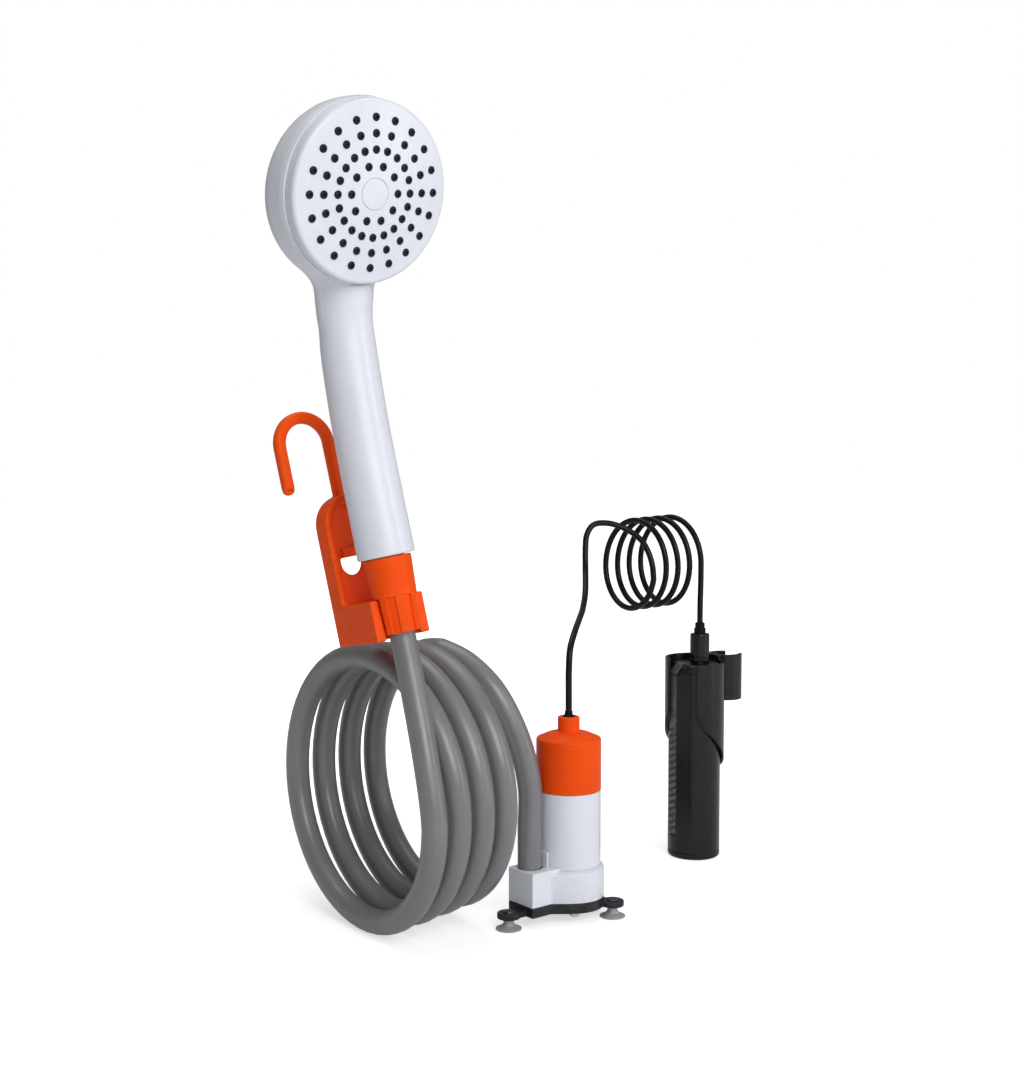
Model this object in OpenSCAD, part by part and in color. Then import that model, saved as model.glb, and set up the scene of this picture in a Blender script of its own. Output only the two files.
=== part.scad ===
// Camp shower pump kit: a submersible pump on suction cups, a coiled hose, a handset in its
// hanging bracket, and a battery tube on the end of a coiled cable.
// Millimetres, +Z up. The kit stands on z = 0.

/* [Layout] */
// Distance from the pump to the battery, across
batt_across = 139; // [136:1:150]
// Distance from the pump to the battery, back
batt_deep = 39; // [36:1:42]
// Distance from the handset's nut to the pump, across
nut_across = 108.4; // [106:0.2:112]
// Height of the lower end of the nut above the floor
nut_up = 163.9; // [163:0.1:170]

/* [Hose] */
// Outside diameter of the hose
hose_d = 13; // [12:0.5:14]
// Radius of the coil, to the middle of the hose
coil_r = 69; // [66:0.5:72]
// Distance from one turn of the hose to the next
coil_pitch = 16.2; // [15.4:0.2:17]
// How much the turns fan out from front to back
coil_fan = 1.4; // [0.6:0.2:1.8]
// Length of hose inside the outlet of the pump
hose_insert = 7.5; // [5:0.5:9]

/* [Cable] */
// Outside diameter of the cable
cable_d = 3.6; // [3:0.2:4.4]
// Radius of the cable coil, to the middle of the cable
cable_coil_r = 25.5; // [24:0.5:27]
// Distance from one turn of the cable to the next
cable_pitch = 10.2; // [9:0.2:11]

/* [Pump] */
// Diameter of the pump body
pump_d = 35.2; // [33:0.2:37]
// Wall of the pump body
pump_wall = 2; // [1.4:0.2:2.6]
// Height of the white motor housing
housing_h = 42.2; // [40:0.1:46]
// Height of the side of the cap
cap_h = 25.5; // [24:0.5:32]
// Rise of the domed top of the cap
dome_h = 5; // [3.5:0.1:6]
// Diameter of the cable nipple
nipple_d = 11.4; // [10:0.2:13]
// Height of the cable nipple above the dome
nipple_h = 8.3; // [7:0.1:12]
// Diameter of the stepped base ring
base_d = 38.8; // [38:0.2:41]
// Height of the base above its plate
base_h = 17; // [16.5:0.5:20]
// Reach of the outlet box from the pump axis
box_reach = 34; // [33.5:0.5:37]
// Width of the outlet box
box_w = 20.5; // [20:0.5:23]
// Height of the outlet box
box_h = 18.5; // [16:0.5:20]
// Distance of the hose outlet from the pump axis
outlet_x = 26; // [25.8:0.1:26.4]
// Offset of the hose outlet to the back
outlet_y = 2; // [0:0.5:2.5]
// Thickness of the base plate
plate_t = 5.5; // [4.5:0.5:6.5]
// Distance of the lug under the outlet box
far_lug_x = 42; // [41:0.5:46]
// Distance forward of the two other lugs
near_lug_x = 15.5; // [14.5:0.5:17]
// Distance sideways of the two other lugs
near_lug_y = 19; // [18.5:0.5:21]
// Diameter of a lug
lug_d = 12.5; // [11:0.5:14]
// Thickness of a lug
lug_t = 3; // [2.5:0.5:4]
// Diameter of a suction cup
cup_d = 14; // [12:0.5:15]
// Height of the base plate above the floor
cup_h = 6; // [5:0.5:8]

/* [Motor] */
// Diameter of the motor can
motor_d = 24.4; // [23:0.2:26]
// Length of the motor can
motor_len = 32; // [30:0.5:34]
// Diameter of the motor shaft
shaft_d = 2.3; // [2:0.1:3]
// Diameter of the impeller
impeller_d = 26.6; // [24:0.2:27]
// Number of impeller vanes
vanes = 6; // [5:1:8]

/* [Handset] */
// Diameter of the shower head
head_d = 85.6; // [83:0.2:90]
// Depth of the shower head
head_depth = 30; // [28:0.5:33]
// Depth of the straight side of the head
head_side = 15; // [13:0.5:17]
// Depth of the face plate
face_t = 6.5; // [6:0.5:8]
// Downward tilt of the face against the grip
face_tilt = 25.3; // [23:0.1:28]
// Rise of the middle of the face above its rim
face_dome = 2.9; // [2:0.1:3.6]
// Diameter of the handle at the nut
handle_d = 29.8; // [29:0.2:31]
// Diameter of the handle at the neck
handle_top_d = 26.2; // [25:0.2:28]
// Length of the handle up to the neck
handle_len = 130; // [122:1:140]
// Radius of the bow of the handle
handle_bow = 720; // [650:10:900]
// Wall of the handset
handset_wall = 2.4; // [1.8:0.2:3]
// Diameter of a spray nozzle
nozzle_d = 3.5; // [3:0.1:3.8]
// How far a nozzle stands out of the face
nozzle_out = 0.9; // [0.4:0.1:1.5]
// Diameter of the centre cap
centre_d = 14.8; // [13:0.2:16]
// Lean of the handset to the back
hand_lean = 9.7; // [8:0.1:11]
// Roll of the handset to the left
hand_roll = 7; // [6:0.1:8]

/* [Hose nut] */
// Length of the hose nut
nut_len = 38; // [36:0.5:42]
// Diameter of the nut at the handle
nut_top_d = 24.5; // [23.8:0.1:26]
// Diameter of the nut at the hose
nut_low_d = 20.8; // [20.4:0.1:22]
// Number of grip grooves on the nut
grooves = 8; // [6:1:10]

/* [Bracket] */
// Width of the bracket
bracket_w = 31.6; // [30.5:0.2:34]
// Distance from the nut axis to the back of the bracket
bracket_back = 35.4; // [34.5:0.2:38]
// Depth of the framed tray
tray_depth = 10.6; // [9:0.2:12]
// Height of the arch of the tray above the nut's lower end
arch_top = 74; // [70:1:80]
// Wall of the bracket
bracket_wall = 3; // [2.4:0.2:3.6]
// Height of the cradle
cradle_h = 20.5; // [18:0.5:22]
// Radius of the hook, to the middle of its bar
hook_r = 14.2; // [13:0.2:16]
// Width and depth of the hook's bar
hook_bar = 6; // [5:0.2:6.6]
// Straight length of the hook's stem
stem_h = 28; // [24:1:32]
// Straight length of the hook's free limb
limb_h = 21; // [16:1:24]

/* [Battery] */
// Diameter of the battery tube
batt_d = 32.4; // [31.8:0.2:35]
// Height of the battery
batt_h = 122; // [121:0.5:128]
// Wall of the battery tube
batt_wall = 2; // [1.8:0.1:2.2]
// Diameter of the cell
cell_d = 26; // [24:0.5:26.5]
// Length of the cell
cell_len = 65; // [60:0.5:66]
// Diameter of the plug
plug_d = 12; // [11:0.2:12.6]
// Length of the plug's grip
plug_len = 17.8; // [16:0.1:19]
// Length of the plug's strain relief
relief_len = 7; // [5:0.5:7.5]
// Diameter of the power button
button_d = 5; // [4:0.2:5.4]
// Travel of the power button
button_travel = 1.2; // [0.8:0.1:1.4]

/* [Holder] */
// Wall of the holder's sleeve
sleeve_wall = 1.9; // [1.5:0.1:2.4]
// Height of the holder's top above the battery
sleeve_over = 3.5; // [2:0.5:5]
// Diameter of the pole that the side clip takes
pole_d = 17; // [15:0.2:19]
// Height of the side clip
pole_clip_h = 29; // [24:1:34]

/* [Fits] */
// Clearance between pieces that turn or slide
run_gap = 0.3; // [0.2:0.05:0.4]
// Clearance between pieces that are pushed together
fit_gap = 0.1; // [0.05:0.05:0.2]
// Clearance between the motor shaft and what is pressed onto it
press_gap = 0.02; // [0.01:0.01:0.04]

/* [Hidden] */
$fn = 48;
ORANGE = [0.96, 0.31, 0.06];
WHITE = [0.91, 0.92, 0.95];
BLACK = [0.1, 0.1, 0.11];
GREY = [0.44, 0.44, 0.46];
RUBBER = [0.13, 0.14, 0.18];
CLOUDY = [0.62, 0.63, 0.66, 0.7];
STEEL = [0.72, 0.73, 0.75];
BRASS = [0.78, 0.62, 0.3];
COPPER = [0.7, 0.4, 0.22];
GREEN = [0.1, 0.4, 0.2];

// Where the units stand
pump_at = [1.5, -15.75, 0];
batt_at = pump_at + [batt_across, batt_deep, 0];
nut_at = pump_at + [-nut_across, 2.2, nut_up];
coil_at = pump_at + [-108, 47, coil_r + hose_d / 2];
plug_off = [2, -2.2];
fall_off = [4, -3];
button_off = [8.8, 4.6];

// Levels of the pump, from the floor up
plate_z = cup_h;
base_z = plate_z + plate_t;
lug_z = plate_z + lug_t;
housing_z = base_z + base_h;
cap_z = housing_z + housing_h;
rim_z = cap_z + cap_h;
nipple_z = rim_z + dome_h + nipple_h;
pump_r = pump_d / 2;
bore_r = pump_r - pump_wall;
spigot_h = 5;
edge_r = 2;
chamber_r = impeller_d / 2 + 1.2;
chamber_h = 9.5;
seal_t = 1.5;
passage_r = 4;
passage_z = base_z + 4.6;
hose_low_z = base_z + box_h - hose_insert;
screw_r = 1.4;
screw_bite = 9;
screw_ring_r = (chamber_r + base_d / 2) / 2;
screw_angles = [0, 120, 240];
inlet_r = 8;
strainer_t = 1.8;
lugs = [[-far_lug_x, 0], [near_lug_x, -near_lug_y], [near_lug_x, near_lug_y]];
neck_r = 2.2;
grommet_r = 3.4;
grommet_top = nipple_z + 3;

// Levels of the motor
can_z = housing_z + 2.5;
can_t = 0.9;
can_top = can_z + motor_len;
end_cap_t = 3;
shaft_low = base_z + 1.5;
impeller_z = base_z + 2;
impeller_h = 6;
bush_h = 2.4;
bush_r = 3;
magnet_t = 1.9;
air_gap = 0.5;
core_r = motor_d / 2 - can_t - fit_gap - magnet_t - air_gap;

// The handset's own frame: its axis rises from the middle of the nut's lower end
hose_r = hose_d / 2;
nut_bore_r = hose_r + run_gap;
ferrule_low = 8;
shelf_z = 16.6;
flange_t = 2.5;
washer_t = 2;
thread_r = nut_top_d / 2 - 3;
spigot_low = shelf_z + run_gap + flange_t + washer_t;
handle_low = nut_len + run_gap;
handle_r = handle_d / 2;
socket_h = 14;
socket_r = handle_r - 3;
head_r = head_d / 2;
neck_z = handle_low + handle_len;
head_reach = 37.9;
head_rise = 39.35;
face_at = [0, bow(neck_z) - head_reach, neck_z + head_rise];
neck_low_z = neck_z - 20;
neck_back_r = 15;
neck_front_r = 19;
neck_depth = 24;
neck_drop = 10;
neck_rim = 8;
nozzle_rings = [[10, 0.304], [20, 0.473], [20, 0.643], [20, 0.811]];
face_bands = [0.9, 0.73, 0.56, 0.39, 0.2, 0];
bowl_curve = 0.45;
plate_skin = 2.2;
mat_t = 1.2;
seal_r = head_r - 5;

// Levels of the bracket, in the handset's frame
cradle_low = -2.5;
cradle_top = cradle_low + cradle_h;
cradle_front = -1.5;
half_w = bracket_w / 2;
arch_z = arch_top - half_w;
tray_front = bracket_back - tray_depth;
hook_z = arch_top + stem_h;
hole_top = 42;
hole_r = 6.4;
nut_slope = (nut_top_d - nut_low_d) / 2 / nut_len;

// Levels of the battery
batt_r = batt_d / 2;
cell_r = cell_d / 2;
case_bore = batt_r - batt_wall;
end_h = 4;
cap_top_h = 5;
insert_h = 4;
case_top = batt_h - cap_top_h;
cell_z = end_h + insert_h + 0.4;
board_z = cell_z + cell_len + 0.8;
board_t = 1.6;
socket_r_out = 4.5;
barrel_r = 2.7;
pin_r = 0.9;
plug_low = batt_h + run_gap;
barrel_low = batt_h - 13;
socket_low = barrel_low - 2;
plug_top = plug_low + plug_len;
relief_top = plug_top + relief_len;
flange_r = button_d / 2 + 1.1;
flange_top = case_top - insert_h + 3.6;
button_low = flange_top - 1.1;
switch_top = button_low - button_travel - 0.2;
switch_h = 4;
board_top = switch_top - switch_h;
strip_turn = 166;
strip_w = 8;
strip_low = 14;
slope_h = 7;
strip_h = batt_h - slope_h - strip_low;
rib_h = 67;
strip_floor = batt_r - 1;
rib_count = 16;
slope_z = strip_low + strip_h;
slope_in = 5.8;
panel_turn = 200;
panel_cut = 0.6;

// The holder round the battery
sleeve_r = batt_r + run_gap + 0.1;
sleeve_out = sleeve_r + sleeve_wall;
sleeve_top = batt_h + sleeve_over;
sleeve_low = 54;
mouth_turn = 194;
mouth_half = 33;
pole_r = pole_d / 2;
clip_wall = 2.3;
clip_out = pole_r + clip_wall;
clip_x = sleeve_out + pole_r + run_gap;
clip_low = sleeve_top - pole_clip_h;
clip_half = 40;

// Routes of the cords
turns = 3.75;
rings = 24;
hose_sides = 8;
cable_sides = 6;
joint_z = 92;
cable_turns = 4;
cable_coil_at = [batt_at.x + fall_off.x - cable_turns * cable_pitch,
                 batt_at.y + fall_off.y + cable_coil_r, 186.5];
drop_top = 183;
feed_route = [[-104.5, -34, 118], [-105, -28, 132]];
tail_route = [[-41.5, 13, 142], [-34.5, -3.2, 126], [-27.5, -12, 100]];
tail_drop = [74, 52, 38];
riser_drop = [122, 134];
riser_route = [[4, -14, 146], [14, -6.5, 154], [29, 7, 158], [44, 20.5, 162.5], [58, 34, 170.5],
               [67, 44, 182], [70.5, 48, 194], [72.5, 49, 203], [77, 48, 209], [84, 45.5, 210.5],
               [91, 42, 209], [98, 36, 205], [102, 28, 199]];

// Directions and points
function unit(v) = v / norm(v);
function square_to(v, t) = unit(v - (v * t) * t);
function turned(v, lean, roll) =
    let (y = v.y * cos(lean) + v.z * sin(lean), z = v.z * cos(lean) - v.y * sin(lean))
    [v.x * cos(roll) - z * sin(roll), y, v.x * sin(roll) + z * cos(roll)];
function in_hand(v) = nut_at + turned(v, hand_lean, hand_roll);

// A smooth line through points, with a number of steps between each two
function between(a, b, c, d, t) =
    0.5 * (2 * b + (c - a) * t + (2 * a - 5 * b + 4 * c - d) * t * t + (3 * b - a - 3 * c + d) * t * t * t);
function smooth(p, steps) = let (n = len(p) - 1) [
    for (i = [0 : n - 1], k = [0 : steps - 1])
        between(p[max(i - 1, 0)], p[i], p[i + 1], p[min(i + 2, n)], k / steps),
    p[n]
];

// The rings of a tube along a line, and the least gap between stretches that lie side by side
function headings(p) = [for (i = [0 : len(p) - 1]) unit(p[min(i + 1, len(p) - 1)] - p[max(i - 1, 0)])];
function carried(t) = [
    for (i = 0, v = square_to([1, 0.2, 0.1], t[0]); i < len(t);
         i = i + 1, v = i < len(t) ? square_to(v, t[i]) : v) v
];
function least_gap(p, d, apart) =
    min([for (i = [0 : len(p) - 1 - apart], j = [i + apart : len(p) - 1]) norm(p[i] - p[j])]) - d;

module tube(p, d, sides, end_d = 0) {
    t = headings(p);
    u = carried(t);
    n = len(p);
    grow = end_d > 0 ? (end_d - d) / (n - 1) : 0;
    points = [
        for (i = [0 : n - 1], k = [0 : sides - 1]) let (a = 360 * k / sides)
            p[i] + (d + grow * i) / 2 * (cos(a) * u[i] + sin(a) * cross(t[i], u[i]))
    ];
    skin = [
        for (i = [0 : n - 2], k = [0 : sides - 1]) let (
            a = i * sides + k, b = i * sides + (k + 1) % sides)
            each [[a, a + sides, b + sides], [a, b + sides, b]]
    ];
    low_end = [for (k = [1 : sides - 2]) [0, k, k + 1]];
    last = (n - 1) * sides;
    high_end = [for (k = [1 : sides - 2]) [last, last + k + 1, last + k]];
    polyhedron(points, concat(skin, low_end, high_end), convexity = 10);
}

// The middle of the hose: straight down to the first turn, round the coil and down to the pump
function coil_point(t) = coil_at + [coil_pitch * t - coil_fan * (t - 2) * cos(360 * t),
                                    -coil_r * cos(360 * t), -coil_r * sin(360 * t)];
coil_start = coil_point(0);
hose_line = concat(
    [[coil_start.x, coil_start.y, joint_z]],
    [for (i = [0 : turns * rings]) coil_point(i / rings)],
    smooth(concat([coil_point(turns)], tail_route,
                  [for (z = tail_drop) pump_at + [-outlet_x, outlet_y, z]],
                  [pump_at + [-outlet_x, outlet_y, hose_low_z]]), 2));
hose_run = [for (i = [0 : len(hose_line) - 1])
    if (i == 0 || norm(hose_line[i] - hose_line[i - 1]) > 0.5) hose_line[i]];
feed_line = smooth(concat(
    [for (k = [0, 0.5, 1]) [coil_start.x, coil_start.y, joint_z + k * hose_d]],
    feed_route,
    [in_hand([0, 0, -hose_d]), in_hand([0, 0, 0]), in_hand([0, 0, ferrule_low])]), 2);

// The middle of the cable: up from the pump, over to the coil and round it
function cable_point(t) = cable_coil_at + [cable_pitch * t, -cable_coil_r * cos(360 * t),
                                           -cable_coil_r * sin(360 * t)];
cable_loops = [for (i = [-0.5 : 1 : cable_turns * rings]) cable_point(i / rings)];
cable_end = cable_point(cable_turns);
cable_line = concat(
    smooth(concat([for (z = concat([grommet_top, grommet_top + cable_d], riser_drop)) pump_at + [0, 0, z]],
                  riser_route, [cable_loops[0]]), 2),
    [for (i = [1 : len(cable_loops) - 1]) cable_loops[i]],
    [[cable_end.x, cable_end.y, drop_top]]);
drop_sway = [plug_off.x - fall_off.x, plug_off.y - fall_off.y, 0];
drop_line = [for (i = [0 : 8]) let (s = min(max((i - 1) / 6, 0), 1))
    [cable_end.x, cable_end.y, drop_top + (relief_top - drop_top) * i / 8] + s * s * (3 - 2 * s) * drop_sway];

echo(hose_gap = least_gap(hose_run, hose_d, rings / 2));
echo(cable_gap = least_gap(cable_line, cable_d, rings / 2));

module at_pump() { translate(pump_at) children(); }
module at_batt() { translate(batt_at) children(); }
module at_hand() { translate(nut_at) rotate([-hand_lean, -hand_roll, 0]) children(); }
module at_face() { at_hand() translate(face_at) rotate([90 + face_tilt, 0, 0]) children(); }

// A ring from one height to another
module ring(outer, inner, low, high) {
    translate([0, 0, low]) difference() {
        cylinder(r = outer, h = high - low);
        translate([0, 0, -1]) cylinder(r = inner, h = high - low + 2);
    }
}

// The outline of a round block with a rounded upper edge, for turning
module rounded_top(r, low, high, edge) {
    polygon(concat([[0, low], [r, low]],
                   [for (a = [0 : 15 : 90]) [r - edge + edge * cos(a), high - edge + edge * sin(a)]],
                   [[0, high]]));
}

module suction_cups() {
    lip = 0.6;
    button_r = neck_r + 1;
    button_h = 1;
    color(CLOUDY) at_pump() for (p = lugs) translate(p) rotate_extrude() polygon([
        [0, 1.6], [cup_d / 2 - 1.2, 0], [cup_d / 2, 0], [cup_d / 2, lip], [neck_r + 1.4, 2.4],
        [neck_r + 0.6, cup_h - 0.2], [neck_r, cup_h - 0.2], [neck_r, lug_z], [button_r, lug_z],
        [button_r - 0.5, lug_z + button_h], [0, lug_z + button_h]
    ]);
}

module base_plate() {
    link_w = lug_d - 3;
    color(BLACK) at_pump() translate([0, 0, plate_z]) difference() {
        union() {
            linear_extrude(plate_t) {
                circle(d = base_d);
                translate([-box_reach, -box_w / 2]) square([box_reach, box_w]);
            }
            linear_extrude(lug_t) for (p = lugs) {
                translate(p) circle(d = lug_d);
                rotate(atan2(p.y, p.x)) translate([0, -link_w / 2]) square([norm(p), link_w]);
            }
        }
        translate([0, 0, -1]) cylinder(r = inlet_r, h = plate_t + 2);
        translate([0, 0, -1]) cylinder(r = inlet_r + 2, h = strainer_t + 1 + fit_gap);
        for (p = lugs) translate([p.x, p.y, -1]) cylinder(r = neck_r + fit_gap, h = plate_t + 2);
        for (a = screw_angles)
            rotate(a) translate([screw_ring_r, 0, -1]) cylinder(r = screw_r + fit_gap, h = plate_t + 2);
    }
}

module strainer() {
    hole_r = 1.1;
    color(BLACK) at_pump() translate([0, 0, plate_z]) difference() {
        cylinder(r = inlet_r + 2 - fit_gap, h = strainer_t);
        for (n = [0 : 2], a = [0 : 1 : max(6 * n, 1) - 1])
            rotate(360 * a / max(6 * n, 1)) translate([3 * n, 0, -1])
                cylinder(r = hole_r, h = strainer_t + 2, $fn = 12);
    }
}

module base_screws() {
    head_r = 2.8;
    head_h = 2;
    grip_h = plate_t + screw_bite;
    color(STEEL) at_pump() for (a = screw_angles) rotate(a) translate([screw_ring_r, 0, plate_z]) {
        translate([0, 0, -head_h]) cylinder(r = head_r, h = head_h);
        cylinder(r = screw_r, h = grip_h);
    }
}

module volute_base() {
    register_r = bore_r + fit_gap;
    fin = [1.2, 9, 8];
    color(WHITE) at_pump() difference() {
        union() {
            rotate_extrude() rounded_top(base_d / 2, base_z, housing_z, edge_r);
            difference() {
                translate([-box_reach, -box_w / 2, base_z]) cube([box_reach, box_w, box_h]);
                translate([0, 0, base_z + 1]) cylinder(r = pump_r + fit_gap, h = box_h);
            }
            translate([-pump_r - run_gap - fin.x, -fin.y / 2, base_z]) cube([fin.x, fin.y, box_h + fin.z]);
        }
        translate([0, 0, base_z - 1]) cylinder(r = chamber_r, h = chamber_h + 1);
        translate([0, 0, housing_z - spigot_h - seal_t]) cylinder(r = register_r, h = spigot_h + seal_t + 1);
        cylinder(r = shaft_d / 2 + run_gap, h = housing_z);
        translate([0, 0, base_z + chamber_h - 1]) cylinder(r = 4 + fit_gap, h = 2.6);
        translate([-outlet_x, outlet_y, passage_z]) {
            rotate([0, 90, 0]) cylinder(r = passage_r, h = outlet_x);
            cylinder(r = passage_r, h = box_h);
        }
        translate([-outlet_x, outlet_y, hose_low_z]) cylinder(r = hose_r + fit_gap, h = box_h);
        for (a = screw_angles)
            rotate(a) translate([screw_ring_r, 0, base_z - 1])
                cylinder(r = screw_r + fit_gap, h = screw_bite + 1.5);
    }
}

module impeller() {
    vane_t = 1.2;
    hub_r = 3.4;
    vane_r = impeller_d / 3;
    color(WHITE) at_pump() translate([0, 0, impeller_z]) difference() {
        union() {
            cylinder(r = hub_r, h = impeller_h);
            translate([0, 0, impeller_h - 1.4]) cylinder(r = impeller_d / 2, h = 1.4);
            for (i = [0 : vanes - 1]) rotate(360 * i / vanes) linear_extrude(impeller_h) intersection() {
                translate([vane_r, 0]) difference() {
                    circle(r = vane_r);
                    circle(r = vane_r - vane_t);
                }
                square(impeller_d);
                difference() {
                    circle(d = impeller_d - 0.6);
                    circle(r = hub_r - 0.6);
                }
            }
        }
        translate([0, 0, -1]) cylinder(r = shaft_d / 2 + press_gap, h = impeller_h + 2);
    }
}

module motor_shaft() {
    color(STEEL) at_pump() translate([0, 0, shaft_low])
        cylinder(d = shaft_d, h = can_top + end_cap_t - shaft_low);
}

module shaft_seal() {
    color(RUBBER) at_pump()
        ring(4, shaft_d / 2 + 0.05, base_z + chamber_h - 1, base_z + chamber_h + 1.5);
}

module motor_can() {
    color(STEEL) at_pump() difference() {
        translate([0, 0, can_z]) cylinder(d = motor_d, h = motor_len);
        translate([0, 0, can_z + 1]) cylinder(r = motor_d / 2 - can_t, h = motor_len);
        translate([0, 0, can_z - 1]) cylinder(r = bush_r + fit_gap, h = 3);
        for (a = [45, 225]) rotate(a) translate([motor_d / 2 - 4, 0, can_z - 1]) cylinder(r = 1.2, h = 3);
    }
}

module motor_magnets() {
    outer = motor_d / 2 - can_t - fit_gap;
    color(GREY) at_pump() for (s = [0, 180]) rotate(s - 65) translate([0, 0, can_z + 4])
        rotate_extrude(angle = 130) translate([outer - magnet_t, 0]) square([magnet_t, motor_len - 12]);
}

module armature() {
    slot_w = 2.2;
    poles = 3;
    low = can_z + 5.5;
    high = can_top - 10;
    color(COPPER) at_pump() difference() {
        translate([0, 0, low]) cylinder(r = core_r, h = high - low);
        translate([0, 0, low - 1]) cylinder(r = shaft_d / 2 + press_gap, h = high - low + 2);
        for (i = [0 : poles - 1]) rotate(360 * i / poles)
            translate([core_r * 0.45, -slot_w / 2, low - 1]) cube([core_r, slot_w, high - low + 2]);
    }
}

module commutator() {
    color(COPPER) at_pump() ring(3.2, shaft_d / 2 + press_gap, can_top - 8, can_top - 2.5);
}

module motor_bushes() {
    inner = shaft_d / 2 + 0.04;
    color(BRASS) at_pump() {
        ring(bush_r, inner, can_z, can_z + bush_h);
        ring(bush_r, inner, can_top, can_top + end_cap_t);
    }
}

module brush_gear() {
    brush = [3, 2.4, 3];
    color(BLACK) at_pump() {
        difference() {
            translate([0, 0, can_top]) cylinder(d = motor_d, h = end_cap_t);
            translate([0, 0, can_top - 1]) cylinder(r = bush_r + fit_gap, h = end_cap_t + 2);
        }
        for (s = [-1, 1]) translate([s * (3.2 + 0.1 + brush.x / 2) - brush.x / 2, -brush.y / 2, can_top - 6])
            cube([brush.x, brush.y, 6]);
    }
}

module motor_rings() {
    color(RUBBER) at_pump() for (z = [can_z + 4, can_top - 8])
        ring(bore_r - fit_gap, motor_d / 2 + fit_gap, z, z + 5);
}

module motor_leads() {
    lead_r = 0.7;
    color("red") at_pump() for (s = [-1, 1])
        translate([0, s * 2, can_top + end_cap_t])
            cylinder(r = lead_r, h = rim_z - 2 - can_top - end_cap_t);
}

module housing_seal() {
    cord_r = seal_t / 2;
    color(RUBBER) at_pump() translate([0, 0, housing_z - spigot_h - seal_t / 2])
        rotate_extrude() translate([bore_r - 1, 0]) circle(r = cord_r - 0.05, $fn = 24);
}

module motor_housing() {
    color(WHITE) at_pump() {
        ring(pump_r, bore_r, housing_z, cap_z);
        ring(bore_r, bore_r - pump_wall, housing_z - spigot_h, housing_z + 1.6);
    }
}

module pump_cap() {
    lead = 0.6;
    shoulder_r = pump_r - edge_r;
    color(ORANGE) at_pump() difference() {
        union() {
            rotate_extrude() polygon(concat(
                [[0, cap_z], [pump_r, cap_z]],
                [for (a = [0 : 15 : 45]) [shoulder_r + edge_r * cos(a), rim_z - edge_r + edge_r * sin(a)]],
                [for (s = [0.2 : 0.2 : 1])
                    [shoulder_r + (nipple_d / 2 - shoulder_r) * s, rim_z + dome_h * (1 - pow(1 - s, 2))]],
                [[0, rim_z + dome_h]]));
            rotate_extrude() rounded_top(nipple_d / 2, rim_z, nipple_z, 1.4);
            translate([0, 0, cap_z - spigot_h]) cylinder(r = bore_r - fit_gap, h = spigot_h + 1);
        }
        translate([0, 0, cap_z - spigot_h - 1])
            cylinder(r = bore_r - pump_wall, h = spigot_h + cap_h - pump_wall + 1);
        cylinder(r = grommet_r + fit_gap, h = nipple_z + lead);
    }
}

module cable_grommet() {
    color(BLACK) at_pump() rotate_extrude() polygon([
        [0, rim_z - 2], [grommet_r, rim_z - 2], [grommet_r, nipple_z], [grommet_r + 0.2, nipple_z],
        [grommet_r + 0.2, nipple_z + 0.8], [cable_d / 2 + 0.3, grommet_top], [0, grommet_top]
    ]);
}

// The middle of the bowed handle, and its radius on the way up
function bow(z) = -pow(z - handle_low, 2) / 2 / handle_bow;
function grip_line(low, high, steps) =
    [for (i = [0 : steps]) let (z = low + (high - low) * i / steps) [0, z > handle_low ? bow(z) : 0, z]];

function grip_r(z) = (handle_d + (handle_top_d - handle_d) * (z - handle_low) / handle_len) / 2;

// The outline of the back of the head, for turning: a drum that rounds over to a dome
module bowl(r, depth, front) {
    polygon(concat([[0, -front], [r, -front]],
                   [for (a = [0 : 10 : 90])
                       [r * pow(cos(a), bowl_curve), -head_side - (depth - head_side) * sin(a)]]));
}

module grip_disc(z, r) {
    translate([0, bow(z), z]) rotate([atan((z - handle_low) / handle_bow), 0, 0])
        cylinder(r = r, h = 0.2, $fn = 32);
}

module neck(inset) {
    hull() {
        at_hand() grip_disc(neck_low_z, grip_r(neck_low_z) - inset);
        at_hand() grip_disc(neck_z, grip_r(neck_z) - inset);
        at_face() translate([0, -neck_drop, -neck_depth])
            cylinder(r1 = neck_back_r - inset, r2 = neck_front_r - inset, h = neck_rim, $fn = 32);
    }
}

module handset_shell() {
    ledge_z = -face_t - 3.2;
    boss_r = 4.5;
    color(WHITE) difference() {
        union() {
            at_hand() tube(grip_line(handle_low, neck_z, 10), handle_d, 32, handle_top_d);
            at_face() rotate_extrude() bowl(head_r, head_depth, face_t);
            neck(0);
        }
        difference() {
            union() {
                at_face() rotate_extrude() bowl(head_r - 5.2, head_depth - handset_wall, -ledge_z);
                neck(handset_wall);
                at_hand() tube(grip_line(handle_low + 10, neck_z, 10), handle_d - 2 * handset_wall, 24,
                               handle_top_d - 2 * handset_wall);
            }
            at_face() translate([0, 0, -head_depth]) cylinder(r = boss_r, h = head_depth - 5.2);
            at_face() translate([0, 0, ledge_z]) cylinder(r = head_r, h = 20);
        }
        at_face() translate([0, 0, ledge_z]) cylinder(r = head_r - handset_wall, h = 20);
        at_face() translate([0, 0, -face_t]) cylinder(r = head_r + fit_gap, h = 20);
        at_face() translate([0, 0, -head_depth + 4]) cylinder(r = 1.6 + fit_gap, h = head_depth);
        at_hand() translate([0, 0, handle_low - 1]) cylinder(r = socket_r + fit_gap, h = socket_h + 1);
    }
}

// Height of the domed face at a share of its radius
function dome(share) = face_dome * (1 - share * share);

// Children at every nozzle of the face, with the height of the face there
module at_nozzles() {
    for (ring_of = nozzle_rings, i = [0 : ring_of[0] - 1]) {
        $rise = dome(ring_of[1]);
        rotate(360 * i / ring_of[0]) translate([ring_of[1] * head_r, 0, 0]) children();
    }
}

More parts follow.
